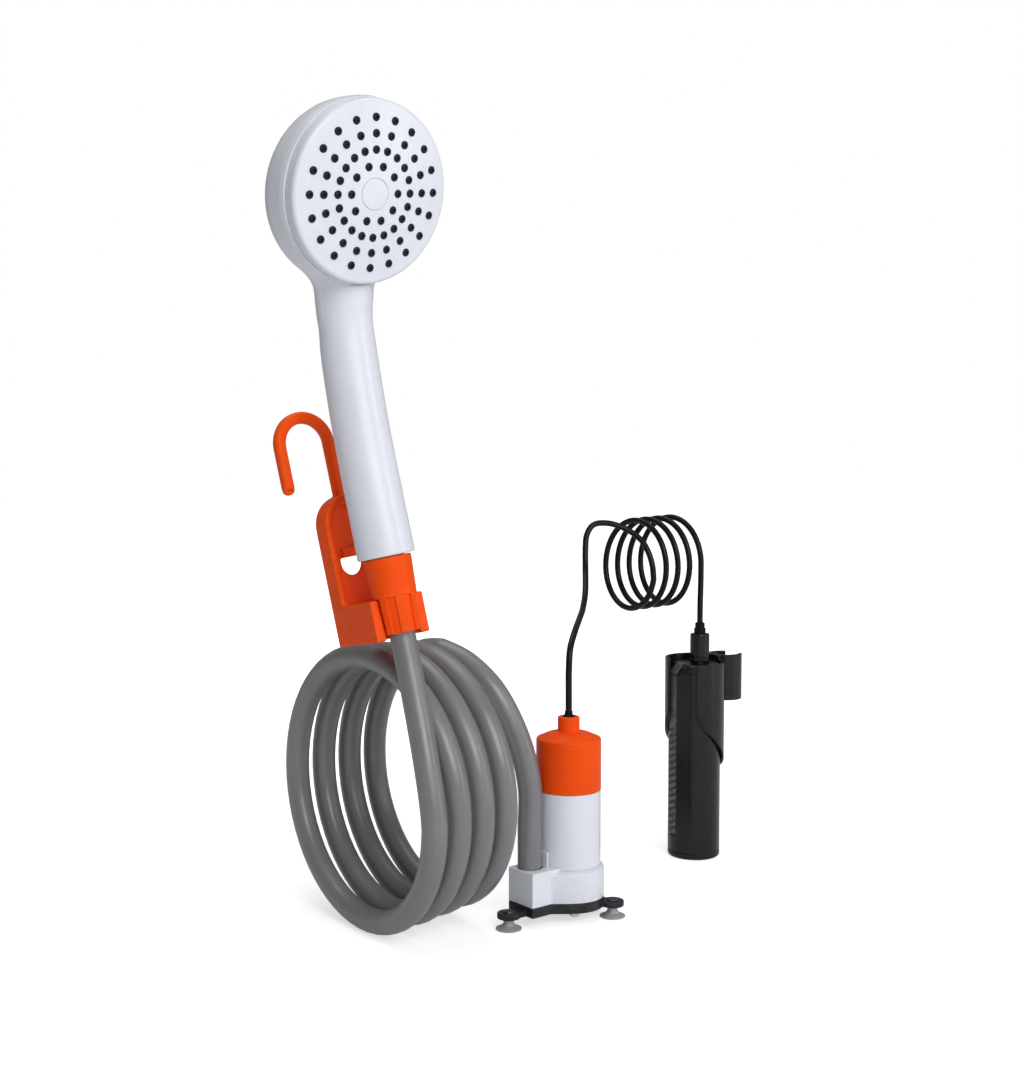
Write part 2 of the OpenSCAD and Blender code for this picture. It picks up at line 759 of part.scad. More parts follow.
module face_plate() {
    round_r = 1.5;
    edge = dome(1 - round_r / head_r);
    seam_turn = 9;
    wall_out = head_r - handset_wall - fit_gap;
    wall_in = wall_out - 2;
    rim_z0 = -face_t;
    color(WHITE) at_face() difference() {
        union() {
            rotate(seam_turn) rotate_extrude() polygon(concat(
                [[0, -plate_skin], [wall_in, -plate_skin], [wall_in, rim_z0 - 2], [wall_out, rim_z0 - 2],
                 [wall_out, rim_z0 + fit_gap], [head_r, rim_z0 + fit_gap]],
                [for (a = [0 : 30 : 90])
                    [head_r - round_r + round_r * cos(a), -round_r + (round_r + edge) * sin(a)]],
                [for (share = face_bands) [share * head_r, dome(share)]]));
            translate([0, 0, -5]) cylinder(r = 6, h = 4);
        }
        at_nozzles() translate([0, 0, -plate_skin - 1])
            cylinder(d = nozzle_d + 2 * fit_gap, h = plate_skin + face_dome + 2, $fn = 10);
        translate([0, 0, face_dome - 1.1]) cylinder(d = centre_d + 2 * fit_gap, h = 2);
        translate([0, 0, face_dome - 2.1]) cylinder(r = 3.6, h = 2);
        translate([0, 0, -6]) cylinder(r = 1.6 + fit_gap, h = 6 + face_dome);
    }
}

module nozzle_mat() {
    low = -plate_skin - 0.1 - mat_t;
    color(RUBBER) at_face() difference() {
        union() {
            translate([0, 0, low]) cylinder(r = 0.811 * head_r + nozzle_d, h = mat_t);
            at_nozzles() translate([0, 0, low])
                cylinder(d = nozzle_d, h = $rise + nozzle_out - low, $fn = 10);
        }
        translate([0, 0, low - 1]) cylinder(r = 6 + fit_gap, h = mat_t + 2);
    }
}

module face_seal() {
    low = -face_t - 3.2;
    wall_out = head_r - handset_wall - fit_gap;
    color(RUBBER) at_face() ring(wall_out - 0.1, seal_r, low + 0.05, low + 1.15);
}

module face_screw() {
    color(STEEL) at_face() {
        translate([0, 0, face_dome - 2]) cylinder(r = 3.4, h = 0.8);
        translate([0, 0, -18]) cylinder(r = 1.6, h = 16.5 + face_dome);
    }
}

module face_cap() {
    color(WHITE) at_face() translate([0, 0, face_dome - 1]) cylinder(d = centre_d, h = 1.15);
}

module handle_spigot() {
    flow_r = 6;
    color(WHITE) at_hand() difference() {
        union() {
            translate([0, 0, spigot_low])
                cylinder(r = thread_r - run_gap, h = handle_low - spigot_low + socket_h);
            translate([0, 0, handle_low]) cylinder(r = socket_r, h = socket_h);
        }
        translate([0, 0, spigot_low - 1]) cylinder(r = flow_r, h = nut_len + socket_h);
    }
}

module hose_washer() {
    color(RUBBER) at_hand() ring(thread_r - run_gap, 5, spigot_low - washer_t, spigot_low);
}

module hose_ferrule() {
    flow_r = 4;
    color(WHITE) at_hand() difference() {
        union() {
            translate([0, 0, ferrule_low])
                cylinder(r = hose_r, h = shelf_z + run_gap + flange_t - ferrule_low);
            translate([0, 0, shelf_z + run_gap]) cylinder(r = thread_r - run_gap, h = flange_t);
        }
        translate([0, 0, ferrule_low - 1]) cylinder(r = flow_r, h = 20);
    }
}

module hose_nut() {
    groove = [3, 4.4, nut_len / 2];
    groove_deep = 1.2;
    color(ORANGE) at_hand() difference() {
        cylinder(d1 = nut_low_d, d2 = nut_top_d, h = nut_len, $fn = 64);
        translate([0, 0, -1]) cylinder(r = nut_bore_r, h = nut_len);
        translate([0, 0, shelf_z]) cylinder(r = thread_r, h = nut_len);
        for (i = [0 : grooves - 1]) rotate(360 * i / grooves)
            translate([nut_low_d / 2 - groove_deep, -groove.y / 2, -0.5])
                rotate([0, atan(nut_slope), 0]) cube(groove);
    }
}

// The arched outline of the tray, drawn flat
module arch(half, low, centre) {
    translate([-half, low]) square([2 * half, centre - low]);
    translate([0, centre]) circle(r = half);
}

// Children drawn flat, stood up and reaching from one depth to another
module upright(front, back) {
    translate([0, back, 0]) rotate([90, 0, 0]) linear_extrude(back - front) children();
}

module hook() {
    half = hook_bar / 2;
    chamfer = 1.4;
    bar = [[-half + chamfer, 0], [half - chamfer, 0], [half, chamfer], [half, hook_bar - chamfer],
           [half - chamfer, hook_bar], [-half + chamfer, hook_bar], [-half, hook_bar - chamfer],
           [-half, chamfer]];
    front = bracket_back - hook_bar;
    translate([-hook_r, bracket_back, hook_z]) rotate([90, 0, 0])
        rotate_extrude(angle = 180) translate([hook_r, 0]) polygon(bar);
    translate([0, front, arch_top - 4]) linear_extrude(stem_h + 4) polygon(bar);
    translate([-2 * hook_r, front, hook_z - limb_h]) linear_extrude(limb_h) polygon(bar);
    translate([-2 * hook_r, bracket_back - chamfer, hook_z - limb_h]) rotate([90, 0, 0])
        cylinder(r = half, h = hook_bar - 2 * chamfer);
}

module bracket() {
    plate_front = bracket_back - bracket_wall;
    seat_r = nut_low_d / 2 + run_gap;
    seat_back = nut_top_d / 2 + 3;
    ledge = [2 * hole_r, 4, 5];
    step_deep = 3;
    step_w = 2.2;
    color(ORANGE) at_hand() difference() {
        union() {
            upright(tray_front, bracket_back) arch(half_w, cradle_low, arch_z);
            translate([-half_w, cradle_front, cradle_low])
                cube([bracket_w, bracket_back - cradle_front, cradle_h]);
            hook();
        }
        upright(tray_front - 1, tray_front + step_deep) arch(half_w - bracket_wall, cradle_top, arch_z);
        difference() {
            upright(tray_front, plate_front) arch(half_w - bracket_wall - step_w, cradle_top, arch_z);
            translate([-ledge.x / 2, plate_front - ledge.y, hole_top]) cube([ledge.x, ledge.y + 1, ledge.z]);
        }
        upright(plate_front - 1, bracket_back + 1) {
            translate([0, hole_top - 3]) circle(r = hole_r);
            translate([-hole_r, hole_top - 3]) square([2 * hole_r, 3]);
        }
        translate([0, 0, cradle_low - 1])
            cylinder(r1 = seat_r + nut_slope * (cradle_low - 1), r2 = seat_r + nut_slope * (cradle_top + 1),
                     h = cradle_h + 2, $fn = 64);
        translate([-half_w + bracket_wall, seat_back, cradle_low - 1])
            cube([bracket_w - 2 * bracket_wall, plate_front - seat_back, cradle_h - bracket_wall + 1]);
    }
}

module hose_feed() {
    color(GREY) tube(feed_line, hose_d, hose_sides);
}

module hose_coil() {
    color(GREY) tube(hose_run, hose_d, hose_sides);
}

// The slope that takes the edge off the top of the battery, over the grip strip
module top_slope() {
    run = [-slope_in, batt_h - slope_z];
    low = [batt_r, slope_z] - 0.3 * run;
    high = [batt_r, slope_z] + 1.3 * run;
    rotate(strip_turn) translate([0, batt_r, 0]) rotate([90, 0, 0]) linear_extrude(2 * batt_r)
        polygon([low, [2 * batt_r, low.y], [2 * batt_r, high.y], high]);
}

module battery_case() {
    color(BLACK) at_batt() difference() {
        translate([0, 0, end_h]) cylinder(r = batt_r, h = case_top - end_h);
        translate([0, 0, end_h - 1]) cylinder(r = case_bore, h = batt_h);
        rotate(strip_turn) translate([strip_floor, -strip_w / 2, strip_low]) cube([batt_r, strip_w, strip_h]);
        rotate(panel_turn) translate([batt_r - panel_cut, -batt_r, 0]) cube([batt_r, 2 * batt_r, batt_h]);
        top_slope();
    }
}

module battery_end_cap() {
    color(BLACK) at_batt() {
        translate([0, 0, end_h]) mirror([0, 0, 1]) rotate_extrude() rounded_top(batt_r, 0, end_h, edge_r);
        translate([0, 0, end_h - 1]) cylinder(r = case_bore - fit_gap, h = insert_h + 1);
    }
}

module battery_top_cap() {
    color(BLACK) at_batt() difference() {
        union() {
            rotate_extrude() rounded_top(batt_r, case_top, batt_h, 3);
            translate([0, 0, case_top - insert_h]) cylinder(r = case_bore - fit_gap, h = insert_h + 1);
        }
        translate([plug_off.x, plug_off.y, 0]) cylinder(r = socket_r_out + fit_gap, h = batt_h + 1);
        translate([button_off.x, button_off.y, 0]) cylinder(r = button_d / 2 + run_gap, h = batt_h + 1);
        translate([button_off.x, button_off.y, 0]) cylinder(r = flange_r + run_gap, h = flange_top + 0.1);
        top_slope();
    }
}

module grip_strip() {
    pitch = rib_h / rib_count;
    base_t = 0.35;
    band_t = 0.6;
    rib_t = 0.7;
    rib_slant = 20;
    wide = strip_w - 2 * fit_gap;
    tall = strip_h - 2 * fit_gap;
    color(RUBBER) at_batt() rotate(strip_turn)
        translate([strip_floor + 0.02, -wide / 2, strip_low + fit_gap]) {
            cube([base_t, wide, tall]);
            translate([0, 0, rib_h]) cube([band_t, wide, tall - rib_h]);
            intersection() {
                cube([rib_t, wide, rib_h]);
                for (i = [0 : rib_count - 1]) translate([0, wide / 2, pitch * (i + 0.5)])
                    rotate([rib_slant, 0, 0]) cube([3 * rib_t, 2 * wide, pitch / 2], center = true);
            }
        }
}

module cell() {
    color("royalblue") at_batt() translate([0, 0, cell_z]) cylinder(d = cell_d, h = cell_len);
}

module cell_contacts() {
    t = 0.3;
    contact_r = cell_r / 2;
    color(STEEL) at_batt() {
        translate([0, 0, cell_z - t - 0.05]) cylinder(r = contact_r, h = t);
        translate([0, 0, cell_z + cell_len + 0.05]) cylinder(r = contact_r, h = t);
    }
}

module control_board() {
    y = button_off.y;
    half = sqrt(pow(case_bore - fit_gap, 2) - pow(y + board_t, 2));
    color(GREEN) at_batt() translate([-half, y - board_t / 2, board_z]) {
        cube([2 * half, board_t, board_top - board_z]);
        translate([half - 4, -1.2, 8]) cube([8, 1.3, 8]);
    }
}

module button_switch() {
    w = 5;
    color(STEEL) at_batt() translate([button_off.x - w / 2, button_off.y - w / 2, board_top + 0.02])
        cube([w, w, switch_h - 0.02]);
}

module power_button() {
    stand = 1;
    color(RUBBER) at_batt() translate([button_off.x, button_off.y, button_low]) {
        cylinder(r = flange_r, h = flange_top - button_low);
        cylinder(d = button_d, h = batt_h + stand - button_low);
    }
}

module battery_socket() {
    color(STEEL) at_batt() translate([plug_off.x, plug_off.y, 0]) {
        ring(socket_r_out, barrel_r + run_gap, socket_low, batt_h - 0.4);
        translate([0, 0, socket_low]) cylinder(r = socket_r_out, h = 1.6);
        translate([0, 0, socket_low]) cylinder(r = pin_r, h = 12);
    }
}

// A flat wedge that opens to +X, for cutting a gap into a ring
module wedge(half) {
    reach = 3 * clip_out;
    polygon([[0, 0], reach * [cos(half), -sin(half)], reach * [cos(half), sin(half)]]);
}

module holder() {
    // Height on the axis and steepness of the two planes that trim the lower edge
    trims = [[70.2, 44], [50.7, 69.7]];
    color(BLACK) at_batt() difference() {
        union() {
            translate([0, 0, sleeve_low]) cylinder(r = sleeve_out, h = sleeve_top - sleeve_low);
            translate([clip_x, 0, clip_low]) cylinder(r = clip_out, h = pole_clip_h);
        }
        translate([0, 0, sleeve_low - 1]) cylinder(r = sleeve_r, h = sleeve_top);
        translate([clip_x, 0, clip_low - 1]) cylinder(r = pole_r, h = pole_clip_h + 2);
        translate([clip_x, 0, clip_low - 1]) linear_extrude(pole_clip_h + 2) wedge(clip_half);
        rotate(mouth_turn) translate([0, 0, sleeve_low - 1]) linear_extrude(sleeve_top) wedge(mouth_half);
        for (t = trims) rotate(mouth_turn) translate([0, 0, t[0]]) rotate([0, -t[1], 0])
            translate([-sleeve_top, -2 * sleeve_out, -sleeve_top])
                cube([2 * sleeve_top, 4 * sleeve_out, sleeve_top]);
    }
}

module plug_barrel() {
    color(STEEL) at_batt() translate([plug_off.x, plug_off.y, 0])
        ring(barrel_r, pin_r + run_gap, barrel_low, plug_low);
}

module plug_body() {
    color(BLACK) at_batt() translate([plug_off.x, plug_off.y, 0])
        rotate_extrude() rounded_top(plug_d / 2, plug_low, plug_top, 0.8);
}

module plug_relief() {
    relief_r = 3.6;
    step_z = plug_top + relief_len / 2;
    color(BLACK) at_batt() translate([plug_off.x, plug_off.y, 0]) rotate_extrude() polygon([
        [0, plug_top], [relief_r, plug_top], [relief_r, step_z], [relief_r - 0.6, step_z],
        [relief_r - 0.6, relief_top - 0.4], [cable_d / 2 + 0.4, relief_top], [0, relief_top]
    ]);
}

module cable_coil() {
    color(BLACK) tube(cable_line, cable_d, cable_sides);
}

module cable_drop() {
    color(BLACK) tube(drop_line, cable_d, cable_sides);
}

suction_cups();
base_plate();
strainer();
base_screws();
volute_base();
impeller();
motor_shaft();
shaft_seal();
motor_can();
motor_magnets();
armature();
commutator();
motor_bushes();
brush_gear();
motor_rings();
motor_leads();
housing_seal();
motor_housing();
pump_cap();
cable_grommet();
handset_shell();
face_plate();
nozzle_mat();
face_seal();
face_screw();
face_cap();
handle_spigot();
hose_washer();
hose_ferrule();
hose_nut();
bracket();
hose_feed();
hose_coil();
battery_case();
battery_end_cap();
battery_top_cap();
grip_strip();
cell();
cell_contacts();
control_board();
button_switch();
power_button();
battery_socket();
holder();
plug_barrel();
plug_body();
plug_relief();
cable_coil();
cable_drop();
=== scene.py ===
import math

import bmesh
import bpy
import numpy as np
from mathutils import Matrix, Vector
from mathutils.geometry import interpolate_bezier


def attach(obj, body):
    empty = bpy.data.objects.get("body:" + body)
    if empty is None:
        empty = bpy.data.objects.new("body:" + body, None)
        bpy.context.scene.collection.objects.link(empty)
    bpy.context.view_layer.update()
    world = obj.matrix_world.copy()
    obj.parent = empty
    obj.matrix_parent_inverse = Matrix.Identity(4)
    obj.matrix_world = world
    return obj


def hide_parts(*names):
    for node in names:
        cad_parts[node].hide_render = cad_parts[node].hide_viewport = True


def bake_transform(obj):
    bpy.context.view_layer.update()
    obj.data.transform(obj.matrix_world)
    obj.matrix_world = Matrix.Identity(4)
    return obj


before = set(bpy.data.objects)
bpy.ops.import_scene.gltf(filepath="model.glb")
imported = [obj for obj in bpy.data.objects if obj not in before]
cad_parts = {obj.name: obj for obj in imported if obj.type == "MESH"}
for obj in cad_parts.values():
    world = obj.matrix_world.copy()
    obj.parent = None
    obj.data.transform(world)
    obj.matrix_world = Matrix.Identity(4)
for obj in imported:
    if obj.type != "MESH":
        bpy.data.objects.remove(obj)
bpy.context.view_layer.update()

bl_info = {
    "name": "Camp shower pump kit",
    "version": (1, 0, 0),
    "blender": (4, 5, 0),
    "location": "3D view > Sidebar > Shower kit",
    "description": "Dresses the solids of a camp shower kit: pump, hose, handset, bracket, battery, cable",
    "category": "Object",
}

MM = 0.001
SAME_SPOT = 2e-6

# Where the pieces stand, in millimetres; the hose's coil follows the photograph, the rest the solids
PUMP = Vector((1.5, -15.75, 0))
BATTERY = Vector((140.5, 23.25, 0))
NUT = Vector((-106.9, -13.55, 163.9))
COIL = Vector((-107.65, 30.3, 76.15))
PLUG = BATTERY + Vector((2, -2.2, 0))
FALL = BATTERY + Vector((4, -3, 0))
BUTTON = BATTERY + Vector((8.8, 4.6, 0))

# The handset in its own frame, which starts at the nut: its lean, handle, neck, face and head
LEAN = math.radians(9.7)
ROLL = math.radians(7)
TILT = math.radians(25.0)
HANDLE_LOW = 38.3
BOW_START = 80.0
BOW_END = 172.0
BOW_R = 531.0
NECK_LOW = 138.0
NECK_LONG = 26.0
FACE = Vector((0.25, -49.55, 206.6))
FACE_DOME = 2.9
HEAD_R = 42.8
EDGE_R = 42.9
DRUM_R = 44.0
SEAM_DEEP = 6.35
SHELL_SIDES = 96
NOZZLE_RINGS = ((10, 0.304), (20, 0.473), (20, 0.643), (20, 0.811))

# The hose's coil: its turns narrow and rise, spread in front, and lean all together
COIL_R = 70.1
COIL_SHRINK = 1.03
COIL_LIFT = 0.76
COIL_TILT = 0.047
COIL_PITCH = 16.1
COIL_FAN = 0.57
COIL_TURNS = 3.75
JOINT_Z = 92.0

# The cable's coil, and the fall from it to the plug
CABLE_R = 24.4
CABLE_BACK = 2.2
CABLE_LIFT = 0.4
CABLE_RISE = 27.2
CABLE_PITCH = 10.2
CABLE_TURNS = 4
CABLE_COIL = Vector((FALL.x - CABLE_TURNS * CABLE_PITCH, FALL.y + CABLE_R + CABLE_BACK, 183.3))
DROP_TOP = 183.0
RELIEF_TOP = 147.1

# How much light the sky gives, and how much of the bright ground shows in reflections
AMBIENT = 0.25
MIRRORED = 0.2

IN_HAND = Matrix.Translation(NUT) @ Matrix.Rotation(-ROLL, 4, "Y") @ Matrix.Rotation(-LEAN, 4, "X")
IN_FACE = IN_HAND @ Matrix.Translation(FACE) @ Matrix.Rotation(math.pi / 2 + TILT, 4, "X")
AT_PUMP = Matrix.Translation(PUMP)
AT_BATTERY = Matrix.Translation(BATTERY)
AT_PLUG = Matrix.Translation(PLUG)

# What has another tint beyond a plane: a point, the way from it, from and to what distance, and the tint. On
# the grip ribs the lighter tint of their outer tops is a painted highlight; the cups' dark buttons are their
# own colour.
STRIP_TURN = math.radians(166)
STRIP_WAY = (math.cos(STRIP_TURN), math.sin(STRIP_TURN), 0.0)
# Painted highlight: the outer tops of the grip ribs are tinted lighter
RIB_TOP_HIGHLIGHT = (tuple(BATTERY * MM), STRIP_WAY, 0.01560, 0.01576, (0.17, 0.17, 0.175))
CUP_BUTTONS = ((0.0, 0.0, 0.0), (0.0, 0.0, 1.0), 0.0080, 0.0088, (0.02, 0.02, 0.022))


# Meshes


def added(name, data):
    """A new object in the scene."""
    thing = bpy.data.objects.new(name, data)
    bpy.context.scene.collection.objects.link(thing)
    return thing


def piece_from(name, points, faces, place=None):
    """A new piece from points in millimetres, put in its place."""
    mesh = bpy.data.meshes.new(name)
    mesh.from_pydata([tuple(p) for p in points], [], faces)
    if place is not None:
        mesh.transform(place)
    mesh.transform(Matrix.Scale(MM, 4))
    mesh.update()
    return added(name, mesh)


def face_outwards(mesh):
    """Merges doubles and turns the faces of a closed shape outwards."""
    work = bmesh.new()
    work.from_mesh(mesh)
    bmesh.ops.remove_doubles(work, verts=work.verts, dist=SAME_SPOT)
    bmesh.ops.dissolve_degenerate(work, dist=1e-7, edges=work.edges)
    bmesh.ops.recalc_face_normals(work, faces=work.faces)
    work.to_mesh(mesh)
    work.free()


def mark_rub(mesh, low=9.0, high=26.0):
    """Writes how exposed each point is to rubbing, from the sharpest outer edge at it."""
    work = bmesh.new()
    work.from_mesh(mesh)
    values = np.zeros(len(work.verts), np.float32)
    for edge in work.edges:
        if len(edge.link_faces) == 2 and edge.is_convex:
            bend = math.degrees(edge.calc_face_angle(0.0))
            share = min(max((bend - low) / (high - low), 0.0), 1.0)
            for vert in edge.verts:
                values[vert.index] = max(values[vert.index], share)
    work.free()
    attribute = mesh.attributes.get("rub") or mesh.attributes.new("rub", "FLOAT", "POINT")
    attribute.data.foreach_set("value", values)


def settle(piece):
    """Turns what the piece's modifiers make into its plain mesh."""
    graph = bpy.context.evaluated_depsgraph_get()
    shaped = piece.evaluated_get(graph)
    mesh = bpy.data.meshes.new_from_object(shaped, preserve_all_data_layers=True, depsgraph=graph)
    piece.modifiers.clear()
    old = piece.data
    piece.data = mesh
    bpy.data.meshes.remove(old)
    mesh.name = piece.name


def even_shading(piece, angle=36):
    """Smooth faces with sharp creases, and flat faces kept flat beside rounded edges."""
    mesh = piece.data
    mesh.polygons.foreach_set("use_smooth", [True] * len(mesh.polygons))
    mesh.set_sharp_from_angle(angle=math.radians(angle))
    weigh = piece.modifiers.new("even", "WEIGHTED_NORMAL")
    weigh.keep_sharp = True
    weigh.weight = 80
    settle(piece)


def settle_in(piece, body, slot, look, *nodes):
    """Gives a shaded piece its finish and puts it on its body, in the place of its solids."""
    piece.data.materials.clear()
    piece.data.materials.append(finish(look))
    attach(piece, body)
    if nodes:
        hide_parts(*nodes)
    return piece


def finish_piece(piece, body, slot, look, *nodes, angle=36):
    """Shades a closed piece and puts it on its body."""
    face_outwards(piece.data)
    mark_rub(piece.data)
    even_shading(piece, angle)
    settle_in(piece, body, slot, look, *nodes)


def rounded(corners, steps):
    """An open outline whose corners (r, z, radius) are rounded."""
    line = []
    for i, corner in enumerate(corners):
        here = Vector(corner[:2])
        radius = corner[2] if len(corner) > 2 else 0
        if radius <= 0 or i in (0, len(corners) - 1):
            line.append(here)
            continue
        before = Vector(corners[i - 1][:2]) - here
        after = Vector(corners[i + 1][:2]) - here
        half = before.angle(after) / 2
        reach = radius / math.tan(half)
        a = here + before.normalized() * reach
        b = here + after.normalized() * reach
        centre = here + (before.normalized() + after.normalized()).normalized() * radius / math.sin(half)
        start, end = a - centre, b - centre
        sweep = start.angle_signed(end)
        for k in range(steps + 1):
            line.append(centre + Matrix.Rotation(-sweep * k / steps, 2) @ start)
    return line


def skin_of(rows, capped=True):
    """Points and faces of a skin through rings of equally many points, capped at its ends or not."""
    n = len(rows[0])
    points = [tuple(p) for row in rows for p in row]
    faces = []
    for i in range(len(rows) - 1):
        for k in range(n):
            a, b = i * n + k, i * n + (k + 1) % n
            faces.append((a, b, b + n, a + n))
    for row, start in ((rows[0], 0), (rows[-1], (len(rows) - 1) * n)) if capped else ():
        points.append(tuple(np.mean(np.array(row), axis=0)))
        for k in range(n):
            faces.append((start + k, start + (k + 1) % n, len(points) - 1))
    return points, faces


def turned_piece(name, corners, place, segments, steps=5):
    """A piece turned on a lathe from an outline that starts and ends on its axis or closes on itself."""
    line = rounded(corners, steps)
    if line[0].x > 0:
        line.append(line[0])
    turns = [2 * math.pi * k / segments for k in range(segments)]
    rows = [[(p.x * math.cos(a), p.x * math.sin(a), p.y) for a in turns] for p in line]
    points, faces = skin_of(rows, capped=False)
    return piece_from(name, points, faces, place)


def finish_softened(name, node, width, body, slot, look, segments=2):
    """A copy of a solid with its sharp edges softened, which stands for it."""
    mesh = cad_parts[node].data.copy()
    mesh.name = name
    flat, sharp = math.radians(0.4), math.radians(28)
    work = bmesh.new()
    work.from_mesh(mesh)
    bmesh.ops.remove_doubles(work, verts=work.verts, dist=SAME_SPOT)
    bmesh.ops.dissolve_limit(work, angle_limit=flat, verts=work.verts, edges=work.edges, delimit=set())
    work.normal_update()
    edges = [e for e in work.edges if len(e.link_faces) == 2 and e.calc_face_angle(0.0) > sharp]
    bmesh.ops.bevel(
        work, geom=edges, offset=width * MM, offset_type="OFFSET", segments=segments, profile=0.5,
        affect="EDGES", clamp_overlap=False, loop_slide=True, miter_outer="SHARP",
    )
    bmesh.ops.remove_doubles(work, verts=work.verts, dist=SAME_SPOT / 2)
    bmesh.ops.triangulate(work, faces=[f for f in work.faces if len(f.verts) > 4])
    work.to_mesh(mesh)
    work.free()
    piece = added(name, mesh)
    mark_rub(piece.data)
    even_shading(piece, 40)
    return settle_in(piece, body, slot, look, node)


def polar(point, axis):
    """Where a point is round an upright axis: its angle in degrees, distance and height."""
    off = point / MM - axis
    return math.degrees(math.atan2(off.y, off.x)) % 360, math.hypot(off.x, off.y), off.z


# Lines and tubes


def eased(share):
    """A share that is kept from 0 to 1 and starts and ends softly."""
    share = np.clip(share, 0, 1)
    return share * share * (3 - 2 * share)


def between(a, b, c, d, t):
    """A point of the smooth line from b to c."""
    return 0.5 * (
        2 * b + (c - a) * t + (2 * a - 5 * b + 4 * c - d) * t * t + (3 * b - a - 3 * c + d) * t * t * t
    )


def smooth_line(points, steps):
    """A smooth line through points, with a number of steps between each two."""
    last = len(points) - 1
    line = []
    for i in range(last):
        for k in range(steps):
            line.append(
                between(points[max(i - 1, 0)], points[i], points[i + 1], points[min(i + 2, last)], k / steps)
            )
    return line + [points[last]]


def swept_tube(name, line, diameter, sides):
    """A round tube along a line in millimetres, with a UV map that runs along and around it."""
    n = len(line)
    turns = [2 * math.pi * k / sides for k in range(sides)]
    side = Vector((1, 0.2, 0.1))
    rows, along = [], [0.0]
    for i, spot in enumerate(line):
        heading = (line[min(i + 1, n - 1)] - line[max(i - 1, 0)]).normalized()
        side = (side - side.dot(heading) * heading).normalized()
        other = heading.cross(side)
        rows.append([spot + diameter / 2 * (math.cos(a) * side + math.sin(a) * other) for a in turns])
        if i:
            along.append(along[-1] + (spot - line[i - 1]).length)
    points, faces = skin_of(rows)
    piece = piece_from(name, points, faces)
    uv = piece.data.uv_layers.new(name="run")
    for polygon in piece.data.polygons:
        spots = [piece.data.loops[j].vertex_index for j in polygon.loop_indices]
        wraps = {v % sides for v in spots if v < n * sides} >= {0, sides - 1}
        for j, v in zip(polygon.loop_indices, spots):
            row, k = divmod(min(v, n * sides - 1), sides)
            turn = k / sides + (1 if wraps and k == 0 else 0)
            uv.data[j].uv = (along[row] * MM, turn)
    mesh = piece.data
    work = bmesh.new()
    work.from_mesh(mesh)
    bmesh.ops.recalc_face_normals(work, faces=work.faces)
    work.to_mesh(mesh)
    work.free()
    mesh.polygons.foreach_set("use_smooth", [True] * len(mesh.polygons))
    mesh.set_sharp_from_angle(angle=math.radians(50))
    return piece


def coil_point(t):
    """The middle of the hose on the coil, t turns from its start."""
    a = 2 * math.pi * t
    radius = COIL_R - COIL_SHRINK * t
    rise = COIL_LIFT * t - radius * math.sin(a)
    along = COIL_PITCH * t - COIL_FAN * (t - 2) * math.cos(a) - COIL_TILT * rise
    return COIL + Vector((along, -radius * math.cos(a), rise))


def cable_point(t):
    """The middle of the cable on its coil, t turns from its start."""
    a = 2 * math.pi * t
    rise = CABLE_LIFT * t - CABLE_RISE * math.sin(a)
    return CABLE_COIL + Vector((CABLE_PITCH * t, -CABLE_R * math.cos(a), rise))


def turns_of(point, first, turns, rings):
    """Points along a coil from a part of its first turn on, with a number of rings to a turn."""
    count = int((turns - first) * rings)
    return [point(first + (turns - first) * i / count) for i in range(count + 1)]


def hose_lines():
    """The middle of the hose: the neck under the handset, and the loops down to the pump."""
    first, clear = 0.02, 0.5
    straight_high, straight_low, count = 8, 20, 49
    low, high = coil_point(first), IN_HAND @ Vector((0, 0, -2))
    down = (coil_point(first + 0.001) - low).normalized()
    axis = IN_HAND.to_3x3() @ Vector((0, 0, -1))
    drop = interpolate_bezier(high, high + axis * straight_high, low - down * straight_low, low, count)
    over = [p for p in drop if p.z > JOINT_Z + clear]
    under = [p for p in drop if p.z < JOINT_Z - clear]
    share = (JOINT_Z - under[0].z) / (over[-1].z - under[0].z)
    joint = under[0].lerp(over[-1], share)
    neck = [joint] + over[::-1] + [IN_HAND @ Vector((0, 0, z)) for z in (0, 3, 8)]
    tail = [coil_point(COIL_TURNS)]
    tail += [Vector(p) for p in ((-45.7, 13, 139.2), (-39.2, -3.2, 124.6), (-30.7, -12, 100))]
    tail += [PUMP + Vector((-26, 2, z)) for z in (74, 52, 38, 22.5)]
    loops = [joint] + under[:-1] + turns_of(coil_point, first, COIL_TURNS, 60) + smooth_line(tail, 8)[1:]
    return neck, loops


def cable_lines():
    """The middle of the cable: the riser and loops, and the fall to the plug."""
    first, into_relief = 0.045, 3
    riser = [PUMP + Vector((0, 0, z)) for z in (112.5, 116.1, 122, 134)]
    riser += [Vector(p) for p in (
        (4, -14, 146), (14, -6.5, 154), (29, 7, 158), (44, 20.5, 162.5), (58, 34, 170.5), (67, 44, 182),
        (70.5, 48, 194), (72.5, 49, 203), (77, 48, 209), (84, 45.5, 210), (91, 42, 208.5),
        (97.5, 36.5, 204.5), (101.3, 30.8, 199), (102.7, 26.4, 192), (103.5, 23.8, 184))]
    riser.append(cable_point(first))
    end = cable_point(CABLE_TURNS)
    loops = smooth_line(riser, 6) + turns_of(cable_point, first, CABLE_TURNS, 48)[1:]
    loops.append(Vector((end.x, end.y, DROP_TOP)))
    fall = []
    for z in np.linspace(DROP_TOP, RELIEF_TOP - into_relief, 25).tolist():
        share = eased(((DROP_TOP - z) / (DROP_TOP - RELIEF_TOP) - 1 / 8) / (6 / 8))
        fall.append(Vector((end.x, end.y, z)).lerp(Vector((PLUG.x, PLUG.y, z)), share))
    return loops, fall


# Finishes


